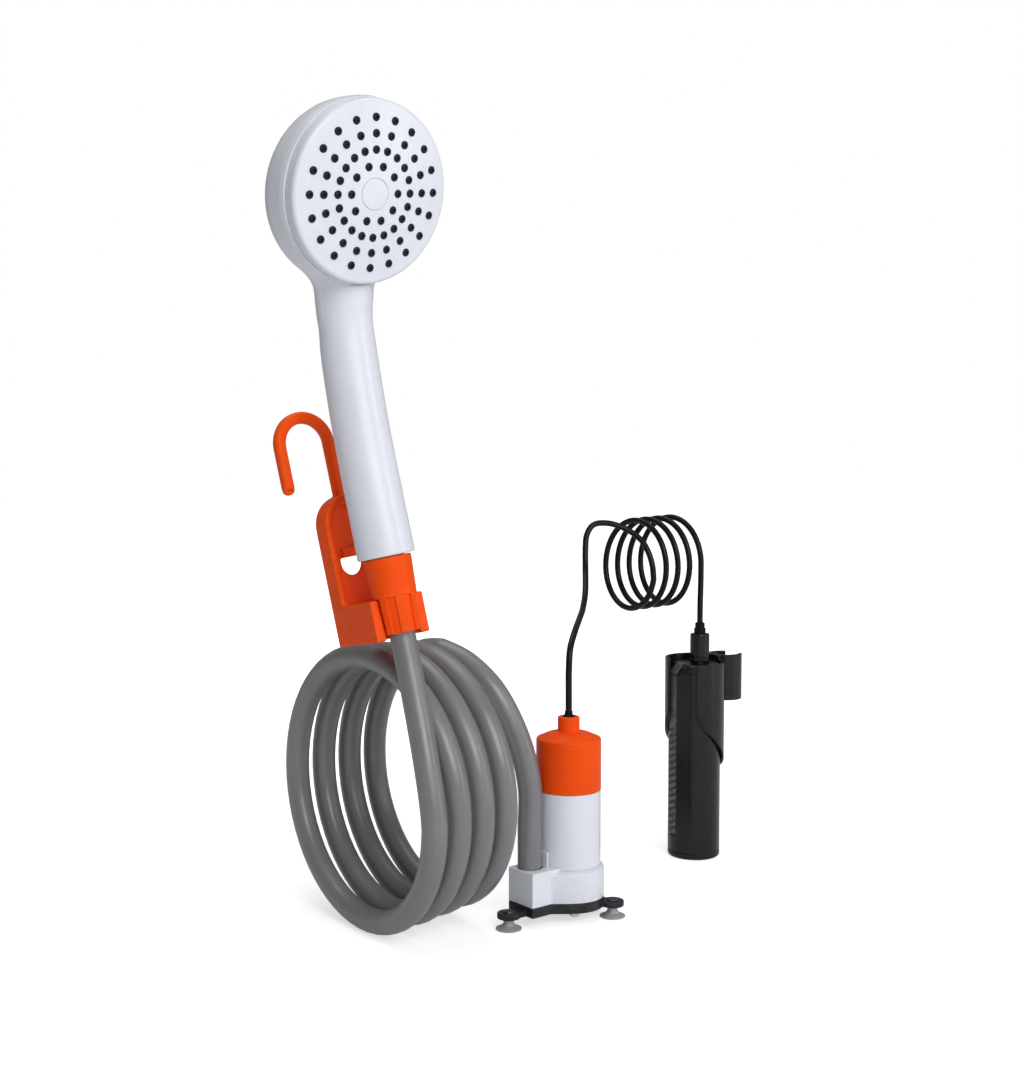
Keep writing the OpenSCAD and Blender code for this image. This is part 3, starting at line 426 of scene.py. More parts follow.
def effect(name, inputs, outputs):
    """An empty shader node group: its tree, a bench on it, and the sockets at its two ends."""
    kinds = {"Vector": "NodeSocketVector", "Colour": "NodeSocketColor", "Rubbed": "NodeSocketColor"}
    tree = bpy.data.node_groups.new(name, "ShaderNodeTree")
    for label, default in inputs.items():
        kind = kinds.get(label, "NodeSocketFloat")
        socket = tree.interface.new_socket(label, in_out="INPUT", socket_type=kind)
        if default is not None:
            socket.default_value = default
    for label in outputs:
        tree.interface.new_socket(label, in_out="OUTPUT", socket_type=kinds.get(label, "NodeSocketFloat"))
    start, end = tree.nodes.new("NodeGroupInput"), tree.nodes.new("NodeGroupOutput")
    return tree, Bench(tree), start.outputs, end.inputs


class Bench:
    """Adds and joins nodes in one tree."""

    def __init__(self, tree):
        self.tree = tree

    def add(self, kind, links=None, **settings):
        node = self.tree.nodes.new(kind)
        for key, value in settings.items():
            setattr(node, key, value)
        for key, value in (links or {}).items():
            self.put(node.inputs[key], value)
        return node

    def put(self, socket, value):
        if isinstance(value, bpy.types.NodeSocket):
            self.tree.links.new(value, socket)
        else:
            socket.default_value = value

    def calc(self, how, a, b, clamp=False):
        return self.add("ShaderNodeMath", {0: a, 1: b}, operation=how, use_clamp=clamp).outputs[0]

    def mix(self, share, a, b):
        node = self.add("ShaderNodeMix", data_type="RGBA")
        self.put(node.inputs["Factor"], share)
        self.put(node.inputs[6], a)
        self.put(node.inputs[7], b)
        return node.outputs[2]

    def span(self, value, low, high, to_low=0.0, to_high=1.0):
        return self.add("ShaderNodeMapRange", {
            "Value": value, "From Min": low, "From Max": high, "To Min": to_low, "To Max": to_high,
        }).outputs[0]

    def noise(self, vector, scale, detail, rough=0.5):
        return self.add("ShaderNodeTexNoise", {
            "Vector": vector, "Scale": scale, "Detail": detail, "Roughness": rough}).outputs["Fac"]


def emptied(owner):
    """A bench on the emptied shader tree of a material or a world."""
    owner.use_nodes = True
    owner.node_tree.nodes.clear()
    return Bench(owner.node_tree)


def make_effects():
    """The effects that several finishes share, each built once."""
    grain, b, i, o = effect("moulding_grain", {"Vector": None, "Grain": 2200.0, "Waviness": 0.4}, ["Height"])
    fine = b.noise(i["Vector"], i["Grain"], 2.0, 0.55)
    broad = b.noise(i["Vector"], 70.0, 2.0, 0.4)
    b.put(o["Height"], b.calc("ADD", fine, b.calc("MULTIPLY", broad, i["Waviness"])))

    drift, b, i, o = effect(
        "tint_drift", {"Vector": None, "Colour": None, "Amount": 0.1, "Scale": 35.0}, ["Colour"])
    cloud = b.noise(i["Vector"], i["Scale"], 4.0, 0.55)
    speck = b.noise(i["Vector"], 900.0, 1.0)
    share = b.calc("ADD", b.span(cloud, 0.3, 0.7, -1.0, 1.0), b.span(speck, 0.35, 0.65, -0.35, 0.35))
    gain = b.calc("ADD", b.calc("MULTIPLY", share, i["Amount"]), 1.0)
    scaled = b.add("ShaderNodeVectorMath", {0: i["Colour"]}, operation="SCALE")
    b.put(scaled.inputs["Scale"], gain)
    b.put(o["Colour"], scaled.outputs[0])

    # Lightens exposed edges in patches: rubbing on most finishes, a painted highlight on the grip ribs and
    # their band
    rub, b, i, o = effect(
        "edge_rub_and_highlight", {"Vector": None, "Colour": None, "Rubbed": None, "Amount": 0.3}, ["Colour"])
    exposed = b.add("ShaderNodeAttribute", attribute_name="rub").outputs["Fac"]
    patch = b.span(b.noise(i["Vector"], 260.0, 4.0, 0.6), 0.38, 0.62)
    mask = b.calc("MULTIPLY", b.calc("MULTIPLY", exposed, patch), i["Amount"], clamp=True)
    b.put(o["Colour"], b.mix(mask, i["Colour"], i["Rubbed"]))

    marks, b, i, o = effect(
        "handling_marks", {"Vector": None, "Roughness": 0.4, "Amount": 0.1}, ["Roughness"])
    smear = b.noise(i["Vector"], 48.0, 5.0, 0.65)
    turned = b.add("ShaderNodeMapping", {
        "Vector": i["Vector"], "Rotation": (0.5, 0.3, 0.8), "Scale": (160.0, 1700.0, 900.0)})
    hair = b.noise(turned.outputs[0], 1.0, 2.0)
    mask = b.calc("ADD", b.span(smear, 0.35, 0.7, -1.0, 1.0), b.span(hair, 0.66, 0.74, 0.0, 0.8))
    b.put(o["Roughness"], b.calc("ADD", i["Roughness"], b.calc("MULTIPLY", mask, i["Amount"]), clamp=True))

    drawn, b, i, o = effect("drawn_tube", {"Lines": 46.0, "Rings": 420.0}, ["Height", "Streak"])
    run = b.add("ShaderNodeUVMap", uv_map="run").outputs[0]
    parts = b.add("ShaderNodeSeparateXYZ", {0: run}).outputs
    along, around = parts[0], b.calc("MULTIPLY", parts[1], 2 * math.pi)
    spot = b.add("ShaderNodeCombineXYZ", {
        0: b.calc("COSINE", around, 0.0), 1: b.calc("SINE", around, 0.0), 2: b.calc("MULTIPLY", along, 3.0)})
    lines = b.noise(spot.outputs[0], 9.0, 3.0)
    ripple = b.calc("SINE", b.calc("MULTIPLY", along, i["Rings"]), 0.0)
    fade = b.noise(b.add("ShaderNodeCombineXYZ", {0: along}).outputs[0], i["Lines"], 2.0)
    b.put(o["Height"], b.calc("ADD", lines, b.calc("MULTIPLY", b.calc("MULTIPLY", ripple, fade), 0.12)))
    b.put(o["Streak"], lines)
    return {"grain": grain, "drift": drift, "rub": rub, "marks": marks, "drawn": drawn}


EFFECTS = {}
FINISHES = {}


def moulded(name, colour, rough, grain=2200.0, bump=0.05, drift=0.06, rubbed=None, rub=0.35, marks=0.06,
            coat=0.0, specular=0.5, metallic=0.0, cord=False, subsurface=0.0, beyond=None):
    """A finish with grain, drift of tint, lightened edges, handling marks and at will another tint beyond a
    plane; the lightened edges are rubbing, but a painted highlight on the grip ribs and their band, as is the
    lighter tint on the rib tops.
    """
    if name in FINISHES:
        return FINISHES[name]
    if not EFFECTS:
        EFFECTS.update(make_effects())
    material = bpy.data.materials.new(name)
    b = emptied(material)
    shader = b.add("ShaderNodeBsdfPrincipled", {
        "Metallic": metallic, "Specular IOR Level": specular, "Coat Weight": coat, "Coat Roughness": 0.12,
        "Subsurface Weight": subsurface, "Subsurface Scale": 0.002})
    b.add("ShaderNodeOutputMaterial", {"Surface": shader.outputs[0]})
    spot = b.add("ShaderNodeTexCoord").outputs["Object"]
    rubbed = (*(rubbed or [min(1.0, c * 1.25 + 0.02) for c in colour]), 1.0)

    def use(key, **links):
        node = b.add("ShaderNodeGroup", node_tree=EFFECTS[key])
        for label, value in links.items():
            b.put(node.inputs[label], value)
        return node.outputs

    tint = use("drift", Vector=spot, Colour=(*colour, 1.0), Amount=drift)["Colour"]
    height = use("grain", Vector=spot, Grain=grain)["Height"]
    # Another tint beyond a plane: a painted highlight on the tops of the grip ribs, the own dark colour of
    # the cups' buttons
    if beyond:
        origin, way, low, high, far_tint = beyond
        off = b.add("ShaderNodeVectorMath", {0: spot, 1: origin}, operation="SUBTRACT").outputs[0]
        reach = b.add("ShaderNodeVectorMath", {0: off, 1: way}, operation="DOT_PRODUCT").outputs["Value"]
        tint = b.mix(b.span(reach, low, high), tint, (*far_tint, 1.0))
    if cord:
        drawn = use("drawn")
        height = b.calc("ADD", b.calc("MULTIPLY", height, 0.35), drawn["Height"])
        tint = b.mix(b.span(drawn["Streak"], 0.3, 0.75, 0.0, 0.2), tint, rubbed)
    worn = use("rub", Vector=spot, Colour=tint, Rubbed=rubbed, Amount=rub)
    b.put(shader.inputs["Base Color"], worn["Colour"])
    b.put(shader.inputs["Roughness"], use("marks", Vector=spot, Roughness=rough, Amount=marks)["Roughness"])
    bumped = b.add("ShaderNodeBump", {"Height": height, "Strength": bump, "Distance": 0.0004})
    b.put(shader.inputs["Normal"], bumped.outputs[0])
    FINISHES[name] = material
    return material


def finish(name):
    """The named finish, in the colours of the panel."""
    tints = bpy.context.scene.shower_kit_colours
    orange, white, black = tuple(tints.orange), tuple(tints.white), tuple(tints.black)
    grey, cloudy, dark = tuple(tints.hose), tuple(tints.cup), tuple(tints.nozzle)
    pale = dict(colour=white, drift=0.018, rubbed=(0.9, 0.91, 0.93), rub=0.1)
    case = dict(colour=black, drift=0.05, rubbed=(0.016, 0.016, 0.018), rub=0.5, marks=0.015, specular=0.36)
    soft = dict(grain=3600.0, bump=0.06, drift=0.08, marks=0.03)
    metal = dict(metallic=1.0, grain=4200.0, marks=0.12)
    recipes = {
        "orange_mould": dict(colour=orange, rough=0.38, drift=0.05, rubbed=(0.98, 0.17, 0.04), specular=0.1),
        "white_mould": dict(pale, rough=0.3, bump=0.03),
        "white_gloss": dict(pale, rough=0.22, bump=0.02, coat=0.15),
        "black_mould": dict(case, rough=0.3, grain=3200.0, bump=0.02),
        "black_satin": dict(case, rough=0.24, grain=2600.0, bump=0.015),
        "black_soft": dict(soft, colour=tuple(c * 0.85 for c in black), rough=0.42,
                           rubbed=(0.02, 0.02, 0.022), specular=0.14),
        # The grip ribs: their lighter edges, from the rubbed tint at a high amount, and their lighter tops
        # are a painted highlight
        "rib_soft": dict(soft, colour=(0.016, 0.016, 0.017), rough=0.4, rubbed=(0.05, 0.05, 0.053), rub=0.9,
                         specular=0.25, beyond=RIB_TOP_HIGHLIGHT),
        # The band's light tint and its lighter edges are a painted highlight on the edge of the grip strip
        # over the top slope
        "band_highlight_soft": dict(soft, colour=(0.11, 0.11, 0.115), rough=0.4, rubbed=(0.16, 0.16, 0.165), rub=0.4,
                          specular=0.25),
        "plate_mould": dict(colour=(0.014, 0.014, 0.02), rough=0.36, grain=3000.0, bump=0.06, drift=0.08,
                            rubbed=(0.05, 0.05, 0.058), rub=0.5, marks=0.04, specular=0.3),
        "hose_vinyl": dict(colour=grey, rough=0.36, grain=1600.0, bump=0.1, drift=0.08, cord=True,
                           rubbed=tuple(c * 1.2 for c in grey), rub=0.0, specular=0.8),
        "cable_vinyl": dict(colour=black, rough=0.32, grain=2600.0, bump=0.02, drift=0.08, cord=True,
                            rubbed=(0.02, 0.02, 0.022), rub=0.0, marks=0.03, specular=0.2),
        "cup_vinyl": dict(colour=cloudy, rough=0.3, bump=0.04, drift=0.05, subsurface=0.6, rub=0.3,
                          rubbed=(0.6, 0.61, 0.63), beyond=CUP_BUTTONS),
        "nozzle_rubber": dict(colour=dark, rough=0.5, grain=3800.0, bump=0.12, drift=0.15,
                              rubbed=(0.03, 0.034, 0.045), rub=0.3, specular=0.25),
        "seal_rubber": dict(colour=dark, rough=0.6, grain=3000.0, bump=0.2, drift=0.15, rub=0.2),
        "bright_steel": dict(metal, colour=(0.62, 0.63, 0.65), rough=0.28, grain=5200.0, bump=0.08,
                             drift=0.08, rubbed=(0.8, 0.8, 0.82), marks=0.15),
        "wound_copper": dict(metal, colour=(0.62, 0.28, 0.12), rough=0.32, bump=0.15, drift=0.15),
        "bearing_brass": dict(metal, colour=(0.6, 0.42, 0.16), rough=0.3, bump=0.1, drift=0.1),
        "magnet_ferrite": dict(colour=(0.045, 0.045, 0.05), rough=0.65, grain=2600.0, bump=0.3, drift=0.2),
        "cell_sleeve": dict(colour=(0.02, 0.07, 0.3), rough=0.3, drift=0.08),
        "board_lacquer": dict(colour=(0.01, 0.12, 0.035), rough=0.35, bump=0.08, drift=0.15),
    }
    return moulded(name, **recipes[name])


# Node trees for what repeats


def placing_tree(name, inputs):
    """An empty geometry node tree that takes a shape and a material."""
    tree = bpy.data.node_groups.new(name, "GeometryNodeTree")
    tree.interface.new_socket("Shape", in_out="INPUT", socket_type="NodeSocketGeometry")
    for label, kind, default in inputs:
        socket = tree.interface.new_socket(label, in_out="INPUT", socket_type=kind)
        socket.default_value = default
    tree.interface.new_socket("Finish", in_out="INPUT", socket_type="NodeSocketMaterial")
    tree.interface.new_socket("Shapes", in_out="OUTPUT", socket_type="NodeSocketGeometry")
    tree.nodes.new("NodeGroupInput")
    tree.nodes.new("NodeGroupOutput")
    return tree, Bench(tree)


def end_tree(tree, bench, shapes):
    """Ends a tree in plain geometry with its material."""
    ends = tree.nodes["Group Input"].outputs
    real = bench.add("GeometryNodeRealizeInstances", {"Geometry": shapes}).outputs[0]
    dressed = bench.add("GeometryNodeSetMaterial", {"Geometry": real, "Material": ends["Finish"]}).outputs[0]
    bench.put(tree.nodes["Group Output"].inputs["Shapes"], dressed)
    return tree


def nozzle_tree():
    """Shapes on rings round an axis."""
    inputs = []
    for n, (count, share) in enumerate(NOZZLE_RINGS, 1):
        ring = share * HEAD_R
        inputs += [(f"Count {n}", "NodeSocketInt", count), (f"Ring {n}", "NodeSocketFloat", ring * MM),
                   (f"Place {n}", "NodeSocketVector", (0, 0, face_rise(ring) * MM))]
    tree, b = placing_tree("spray_rings", inputs)
    ends = tree.nodes["Group Input"].outputs
    join = b.add("GeometryNodeJoinGeometry")
    for n in range(len(NOZZLE_RINGS), 0, -1):
        size = {"Vertices": ends[f"Count {n}"], "Radius": ends[f"Ring {n}"]}
        ring = b.add("GeometryNodeMeshCircle", size).outputs[0]
        moved = b.add("GeometryNodeTransform", {"Geometry": ring, "Translation": ends[f"Place {n}"]})
        tree.links.new(moved.outputs[0], join.inputs[0])
    placed = b.add("GeometryNodeInstanceOnPoints", {"Points": join.outputs[0], "Instance": ends["Shape"]})
    return end_tree(tree, b, placed.outputs[0])


def spots_tree(name, spots):
    """Shapes at a few given places."""
    inputs = [(f"Place {n}", "NodeSocketVector", spot) for n, spot in enumerate(spots, 1)]
    tree, b = placing_tree(name, inputs)
    ends = tree.nodes["Group Input"].outputs
    join = b.add("GeometryNodeJoinGeometry")
    for n in range(len(spots), 0, -1):
        moved = b.add("GeometryNodeTransform", {"Geometry": ends["Shape"], "Translation": ends[f"Place {n}"]})
        tree.links.new(moved.outputs[0], join.inputs[0])
    return end_tree(tree, b, join.outputs[0])


def finish_repeated(piece, tree, body, slot, look, node, angle, place=None, rub=(9.0, 26.0)):
    """Repeats a closed shape by a tree, and lets the plain mesh of it all stand for its solid."""
    face_outwards(piece.data)
    mark_rub(piece.data, *rub)
    placing = piece.modifiers.new("placing", "NODES")
    placing.node_group = tree
    sockets = {item.name: item.identifier for item in tree.interface.items_tree if item.in_out == "INPUT"}
    placing[sockets["Finish"]] = finish(look)
    settle(piece)
    if place is not None:
        piece.data.transform(place)
    even_shading(piece, angle)
    settle_in(piece, body, slot, look, node)


# Sizes and colours


def length(name, description, value):
    """A size in metres for the panel."""
    return bpy.props.FloatProperty(
        name=name, description=description, default=value, min=0.0, unit="LENGTH", precision=5)


def colour(name, description, value):
    """A colour for the panel."""
    return bpy.props.FloatVectorProperty(
        name=name, description=description, default=value, size=3, min=0.0, max=1.0, subtype="COLOR")


class ShowerKitSizes(bpy.types.PropertyGroup):
    """Sizes of the dressed pieces"""

    hose_d: length("Hose", "Outside diameter of the hose", 0.013)
    cable_d: length("Cable", "Outside diameter of the cable", 0.0036)
    bracket_edge: length("Bracket edges", "Rounding of the bracket's edges", 0.0008)
    case_edge: length("Case edges", "Rounding of the edges of the battery and the holder", 0.0004)
    base_edge: length("Base edges", "Rounding of the edges of the pump's base", 0.0005)
    rim_round: length("Face rim", "Rounding of the rim of the spray face", 0.0022)
    nozzle_d: length("Nozzle", "Diameter of a spray nozzle", 0.0039)
    groove_deep: length("Nut grooves", "Depth of the grip grooves of the nut", 0.0012)
    floor: length("Floor", "Size of the floor that the kit stands on", 14.0)


class ShowerKitColours(bpy.types.PropertyGroup):
    """Colours of the mouldings and cords"""

    orange: colour("Orange", "Orange mouldings", (0.92, 0.082, 0.004))
    white: colour("White", "White mouldings", (0.77, 0.795, 0.87))
    black: colour("Black", "Black mouldings", (0.0035, 0.0035, 0.0038))
    hose: colour("Hose", "Hose", (0.182, 0.182, 0.192))
    cup: colour("Suction cups", "Cloudy soft cups", (0.4, 0.41, 0.43))
    nozzle: colour("Nozzles", "Soft spray nozzles", (0.0065, 0.008, 0.014))


class ShowerKitOperator:
    """What the operators share"""

    bl_options = {"REGISTER", "UNDO"}

    def execute(self, context):
        self.make(context, context.scene.shower_kit_sizes)
        return {"FINISHED"}


class SHOWERKIT_OT_camera(ShowerKitOperator, bpy.types.Operator):
    """Set the camera to the view of the photograph"""

    bl_idname = "shower_kit.camera"
    bl_label = "Camera"

    def make(self, context, sizes):
        turn, rise = math.radians(-38.975), math.radians(3.643)
        back = Vector((math.sin(turn) * math.cos(rise), -math.cos(turn) * math.cos(rise), math.sin(rise)))
        right = Vector((math.cos(turn), math.sin(turn), 0))
        lens = bpy.data.cameras.new("view")
        lens.sensor_fit = "HORIZONTAL"
        lens.sensor_width = 36
        lens.lens = 50.898
        lens.clip_start = 0.05
        lens.clip_end = 50
        camera = added("view", lens)
        place = Matrix.Translation((-0.5145, -0.60435, 0.2533))
        axes = Matrix((right, back.cross(right), back)).transposed()
        camera.matrix_world = place @ axes.to_4x4()
        context.scene.camera = camera


class SHOWERKIT_OT_hose(ShowerKitOperator, bpy.types.Operator):
    """Make the hose: its neck under the handset and its coil"""

    bl_idname = "shower_kit.hose"
    bl_label = "Hose"

    def make(self, context, sizes):
        neck_line, loops_line = hose_lines()
        loops = swept_tube("hose_loops", loops_line, sizes.hose_d / MM, 32)
        settle_in(loops, "pump_kit", "hose_grey", "hose_vinyl", "hose_coil")
        neck = swept_tube("hose_neck", neck_line, sizes.hose_d / MM, 32)
        neck.data.materials.append(finish("hose_vinyl"))
        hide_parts("hose_feed")
        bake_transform(neck)


class SHOWERKIT_OT_cable(ShowerKitOperator, bpy.types.Operator):
    """Make the coiled cable from the pump to the plug"""

    bl_idname = "shower_kit.cable"
    bl_label = "Cable"

    def make(self, context, sizes):
        loops_line, fall_line = cable_lines()
        loops = swept_tube("cable_loops", loops_line, sizes.cable_d / MM, 20)
        settle_in(loops, "pump_kit", "black_rubber", "cable_vinyl", "cable_coil")
        fall = swept_tube("cable_fall", fall_line, sizes.cable_d / MM, 20)
        fall.data.materials.append(finish("cable_vinyl"))
        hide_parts("cable_drop")
        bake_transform(fall)
        parts = make_plug()


def dress_solid(node, look):
    """Gives a solid that stays as it is a finish."""
    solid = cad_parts[node]
    if not solid.material_slots:
        solid.data.materials.append(finish(look))
    for place in solid.material_slots:
        place.material = finish(look)


def make_plug():
    """The plug's grip, its stepped strain relief and its barrel."""
    grip = turned_piece("plug_grip", [
        (0, 122.3), (6, 122.3, 0.5), (6, 124.4, 0.15), (5.7, 124.7, 0.15), (5.7, 125.3, 0.15),
        (6, 125.6, 0.15), (6, 139.3, 0.3), (5.7, 140.1, 0.4), (0, 140.1)], AT_PLUG, 48, 4)
    finish_piece(grip, "plug", "black_rubber", "black_satin", "plug_body")
    relief = turned_piece("plug_bend_relief", [
        (0, 139.9), (3.6, 139.9), (3.6, 143.5, 0.3), (3.0, 143.7, 0.2), (3.0, 146.6, 0.4),
        (2.2, RELIEF_TOP, 0.2), (0, RELIEF_TOP)], AT_PLUG, 40, 4)
    finish_piece(relief, "plug", "black_rubber", "black_soft", "plug_relief")
    dress_solid("plug_barrel", "bright_steel")
    return [grip, relief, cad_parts["plug_barrel"]]


class SHOWERKIT_OT_pump(ShowerKitOperator, bpy.types.Operator):
    """Make the pump's housing, cap, grommet and stepped base"""

    bl_idname = "shower_kit.pump"
    bl_label = "Pump"

    def make(self, context, sizes):
        housing = turned_piece("housing_tube", [
            (13.6, 23.5), (15.55, 23.5, 0.3), (15.55, 28.5), (17.6, 28.5, 0.35), (17.6, 69.35, 0.35),
            (15.6, 69.35), (15.6, 65), (13.6, 65)], AT_PUMP, 96)
        finish_piece(housing, "pump_kit", "white_plastic", "white_gloss", "motor_housing")
        cap = turned_piece("cap_dome", [
            (13.6, 65.7), (15.45, 65.7, 0.3), (15.45, 69.5), (17.75, 69.5, 0.4), (17.75, 97.7, 1.3),
            (11.0, 100.6, 8.0), (6.0, 101.2, 0.5), (6.0, 109.5, 1.0), (3.5, 109.5, 0.3), (3.5, 94.2),
            (13.6, 94.2)], AT_PUMP, 96, 8)
        finish_piece(cap, "pump_kit", "orange_plastic", "orange_mould", "pump_cap")
        boot = turned_piece("cable_boot", [
            (0, 94.3), (3.4, 94.3), (3.4, 109.5), (3.55, 109.55, 0.1), (3.5, 109.9, 0.2), (2.3, 110.3, 0.3),
            (2.1, 112.5, 0.3), (0, 112.5)], AT_PUMP, 48, 4)
        finish_piece(boot, "pump_kit", "black_rubber", "black_soft", "cable_grommet")
        edge = sizes.base_edge / MM
        base = finish_softened("outlet_base", "volute_base", edge, "pump_kit", "white_plastic", "white_mould")
        foot = finish_softened("foot_plate", "base_plate", edge, "pump_kit", "black_plastic", "plate_mould")
        for piece in (base, foot):
            swell_to_outlet(piece.data)


def swell_to_outlet(mesh):
    """Lets the round wall of the base widen towards the outlet box, as the volute inside it does."""
    # Degrees round the pump, millimetres from its axis, and how far the wall moves
    box, full, start = 205, 212, 318
    inner, wall, outer = 18.0, 19.4, 20.2
    left, front = 5.0 * MM, 1.8 * MM
    for v in mesh.vertices:
        around, away, _ = polar(v.co, PUMP)
        if box < around < start and inner < away < outer:
            share = min((start - around) / (start - full), 1)
            part = min((away - inner) / (wall - inner), 1)
            v.co.x -= left * part * share ** 6
            v.co.y -= front * part * math.sin(math.pi * share)


class SHOWERKIT_OT_suction_cups(ShowerKitOperator, bpy.types.Operator):
    """Make the three suction cups and the screws under the pump"""

    bl_idname = "shower_kit.suction_cups"
    bl_label = "Suction cups"

    def make(self, context, sizes):
        cup = turned_piece("suction_feet", [
            (0, 1.7), (2.4, 1.5, 1.5), (5.9, 0.1, 0.2), (7.0, 0, 0.15), (7.0, 0.6, 0.25), (3.7, 2.1, 2.0),
            (2.8, 3.6, 0.8), (2.8, 5.8, 0.2), (2.2, 5.8), (2.2, 9.0), (3.2, 9.0, 0.2), (2.7, 10.0, 0.4),
            (0, 10.0)], None, 48)
        spots = [(PUMP + Vector(p)) * MM for p in ((-42, 0, 0), (15.5, -19, 0), (15.5, 19, 0))]
        finish_repeated(cup, spots_tree("cup_places", spots), "pump_kit", "cloudy_rubber", "cup_vinyl",
                        "suction_cups", 50)
        screw = turned_piece("plate_screws", [
            (0, 4.8), (0.9, 4.8), (1.15, 4.1, 0.1), (2.2, 4.0, 0.5), (2.8, 4.8, 0.4), (2.8, 6, 0.1), (1.4, 6),
            (1.4, 20), (0.5, 20.5), (0, 20.5)], None, 24, 3)
        ring_r = (14.5 + 19.4) / 2
        spots = []
        for angle in (0, 120, 240):
            a = math.radians(angle)
            spots.append((PUMP + Vector((ring_r * math.cos(a), ring_r * math.sin(a), 0))) * MM)
        finish_repeated(screw, spots_tree("screw_places", spots), "pump_kit", "steel", "bright_steel",
                        "base_screws", 40)


def neck_share(z):
    """How far up the neck a level is, from 0 to 1."""
    return np.clip((z - NECK_LOW) / NECK_LONG, 0, 1)


def handle_middle(z):
    """How far the middle of the handle is bowed to the front."""
    bow = (np.clip(z, BOW_START, BOW_END) - BOW_START) ** 2 / 2 / BOW_R
    return -bow - neck_share(z) ** 2


def joined(a, b, reach):
    """Two distances joined with a fillet."""
    share = np.clip(0.5 + 0.5 * (b - a) / reach, 0, 1)
    return b + (a - b) * share - reach * share * (1 - share)


def handle_distance(p):
    """About how far points are outside the handle, and the cone from it into the head."""
    x, y, z = p[..., 0], p[..., 1], p[..., 2]
    foot_r, taper, waist, long, top = 14.5, 0.7, 1.7, 130, NECK_LOW + NECK_LONG
    radius = foot_r - taper * np.clip((z - HANDLE_LOW) / long, 0, 1) - waist * neck_share(z) ** 2
    over = np.maximum(z - top, 0)
    deep = 0.985 * (y - handle_middle(np.minimum(z, top)))
    handle = np.sqrt(x ** 2 + deep ** 2 + over ** 2) - radius
    low = np.array((0.0, float(handle_middle(top - 2)), top - 2))
    span = np.array((0.0, -29.0, 206.0)) - low
    share = np.clip(((p - low) @ span) / (span @ span), 0, 1)
    cone = np.linalg.norm(p - low - share[..., None] * span, axis=-1) - (12.5 + 4.5 * share)
    return joined(handle, cone, 5.0)


def head_distance(around, deep):
    """About how far points are outside the head: a drum behind the seam, then a bowl."""
    side, depth, power = 18.0, 33.8, 6.0
    lip, lip_low, lip_long = 0.6, 9.0, 2.2
    rise = np.maximum(deep - side, 0) / (depth - side)
    form = (around / DRUM_R) ** power + rise ** 2 - 1
    steep = power / DRUM_R * (around / DRUM_R) ** (power - 1)
    slope = np.sqrt(steep ** 2 + (2 * rise / (depth - side)) ** 2)
    drum = around - DRUM_R + lip * np.clip((lip_low - deep) / lip_long, 0, 1)
    bowl = np.where(deep < side, drum, form / np.maximum(slope, 0.02))
    return np.maximum(bowl, SEAM_DEEP + 0.25 - deep)


def handset_distance(p):
    """About how far points are outside the handset's shell, in its own frame."""
    slant, slant_from = 0.15, 8
    dy, dz = p[..., 1] - FACE.y, p[..., 2] - FACE.z
    deep = math.cos(TILT) * dy + math.sin(TILT) * dz
    up = -math.sin(TILT) * dy + math.cos(TILT) * dz + slant * np.maximum(deep - slant_from, 0)
    head = head_distance(np.sqrt(p[..., 0] ** 2 + up ** 2), deep)
    fillet = 2.5 + 9.5 * eased((deep - 6) / 16)
    return joined(handle_distance(p), head, fillet)


def shell_ring(centre, front):
    """A ring of the handset's skin in one plane, found from its middle outwards."""
    turns = 2 * np.pi * np.arange(SHELL_SIDES) / SHELL_SIDES
    rays = np.cos(turns)[:, None] * front + np.sin(turns)[:, None] * np.array((1.0, 0.0, 0.0))
    steps = np.linspace(0, 70, 281)
    walk = handset_distance(centre + steps[None, :, None] * rays[:, None])
    out = np.argmax(walk >= 0, axis=1)
    low, high = steps[out - 1], steps[out]
    for _ in range(16):
        middle = (low + high) / 2
        inside = handset_distance(centre + middle[:, None] * rays) < 0
        low, high = np.where(inside, middle, low), np.where(inside, high, middle)
    return centre + low[:, None] * rays


def shell_rings():
    """Rings of the handset's skin: level ones up the handle, then a fan about a line below the face."""
    rows = []
    for z in np.linspace(HANDLE_LOW, 160, 34):
        tip = -max(z - BOW_START, 0) / BOW_R
        front = -np.array((0.0, 1.0, -tip)) / math.hypot(1, tip)
        rows.append(shell_ring(np.array((0.0, float(handle_middle(z)), z)), front))
    to_hand = IN_HAND.inverted() @ IN_FACE
    pivot = np.array(to_hand @ Vector((0, -DRUM_R - 0.6, -SEAM_DEEP - 0.5)))
    last = np.array(to_hand @ Vector((0, DRUM_R - 0.2, -SEAM_DEEP - 0.55))) - pivot
    begin, end = math.atan2(0.177, 0.984), math.atan2(last[2], last[1])
    reach = np.linspace(0, 120, 600)
    for a in np.linspace(begin, end, 44):
        away = np.array((0.0, math.cos(a), math.sin(a)))
        inside = reach[handset_distance(pivot + reach[:, None] * away) < 0]
        rows.append(shell_ring(pivot + away * (inside[0] + inside[-1]) / 2, -away))
    return rows


class SHOWERKIT_OT_handset_shell(ShowerKitOperator, bpy.types.Operator):
    """Make the handset's shell: bowed handle, flared neck and the back of the head"""

    bl_idname = "shower_kit.handset_shell"
    bl_label = "Handset shell"

    def make(self, context, sizes):
        rows = shell_rings()
        first, foot = rows[0], np.array((0.0, 0.0, HANDLE_LOW))

        def inward(share, lift):
            return foot + (first - foot) * np.array((share, share, 0)) + np.array((0, 0, lift))

        rows[0] = inward(1.0, 1.0)
        edge = [inward(*at) for at in ((0.78, 8.0), (0.78, 0.0), (0.93, 0.0), (0.965, 0.12), (0.988, 0.45))]
        points, faces = skin_of(edge + rows)
        shell = piece_from("handset_skin", points, faces, IN_HAND)
        finish_piece(shell, "handset", "white_plastic", "white_mould", "handset_shell", angle=44)


def face_rise(r):
    """Height of the domed face above its rim."""
    return FACE_DOME * (1 - (r / HEAD_R) ** 2)


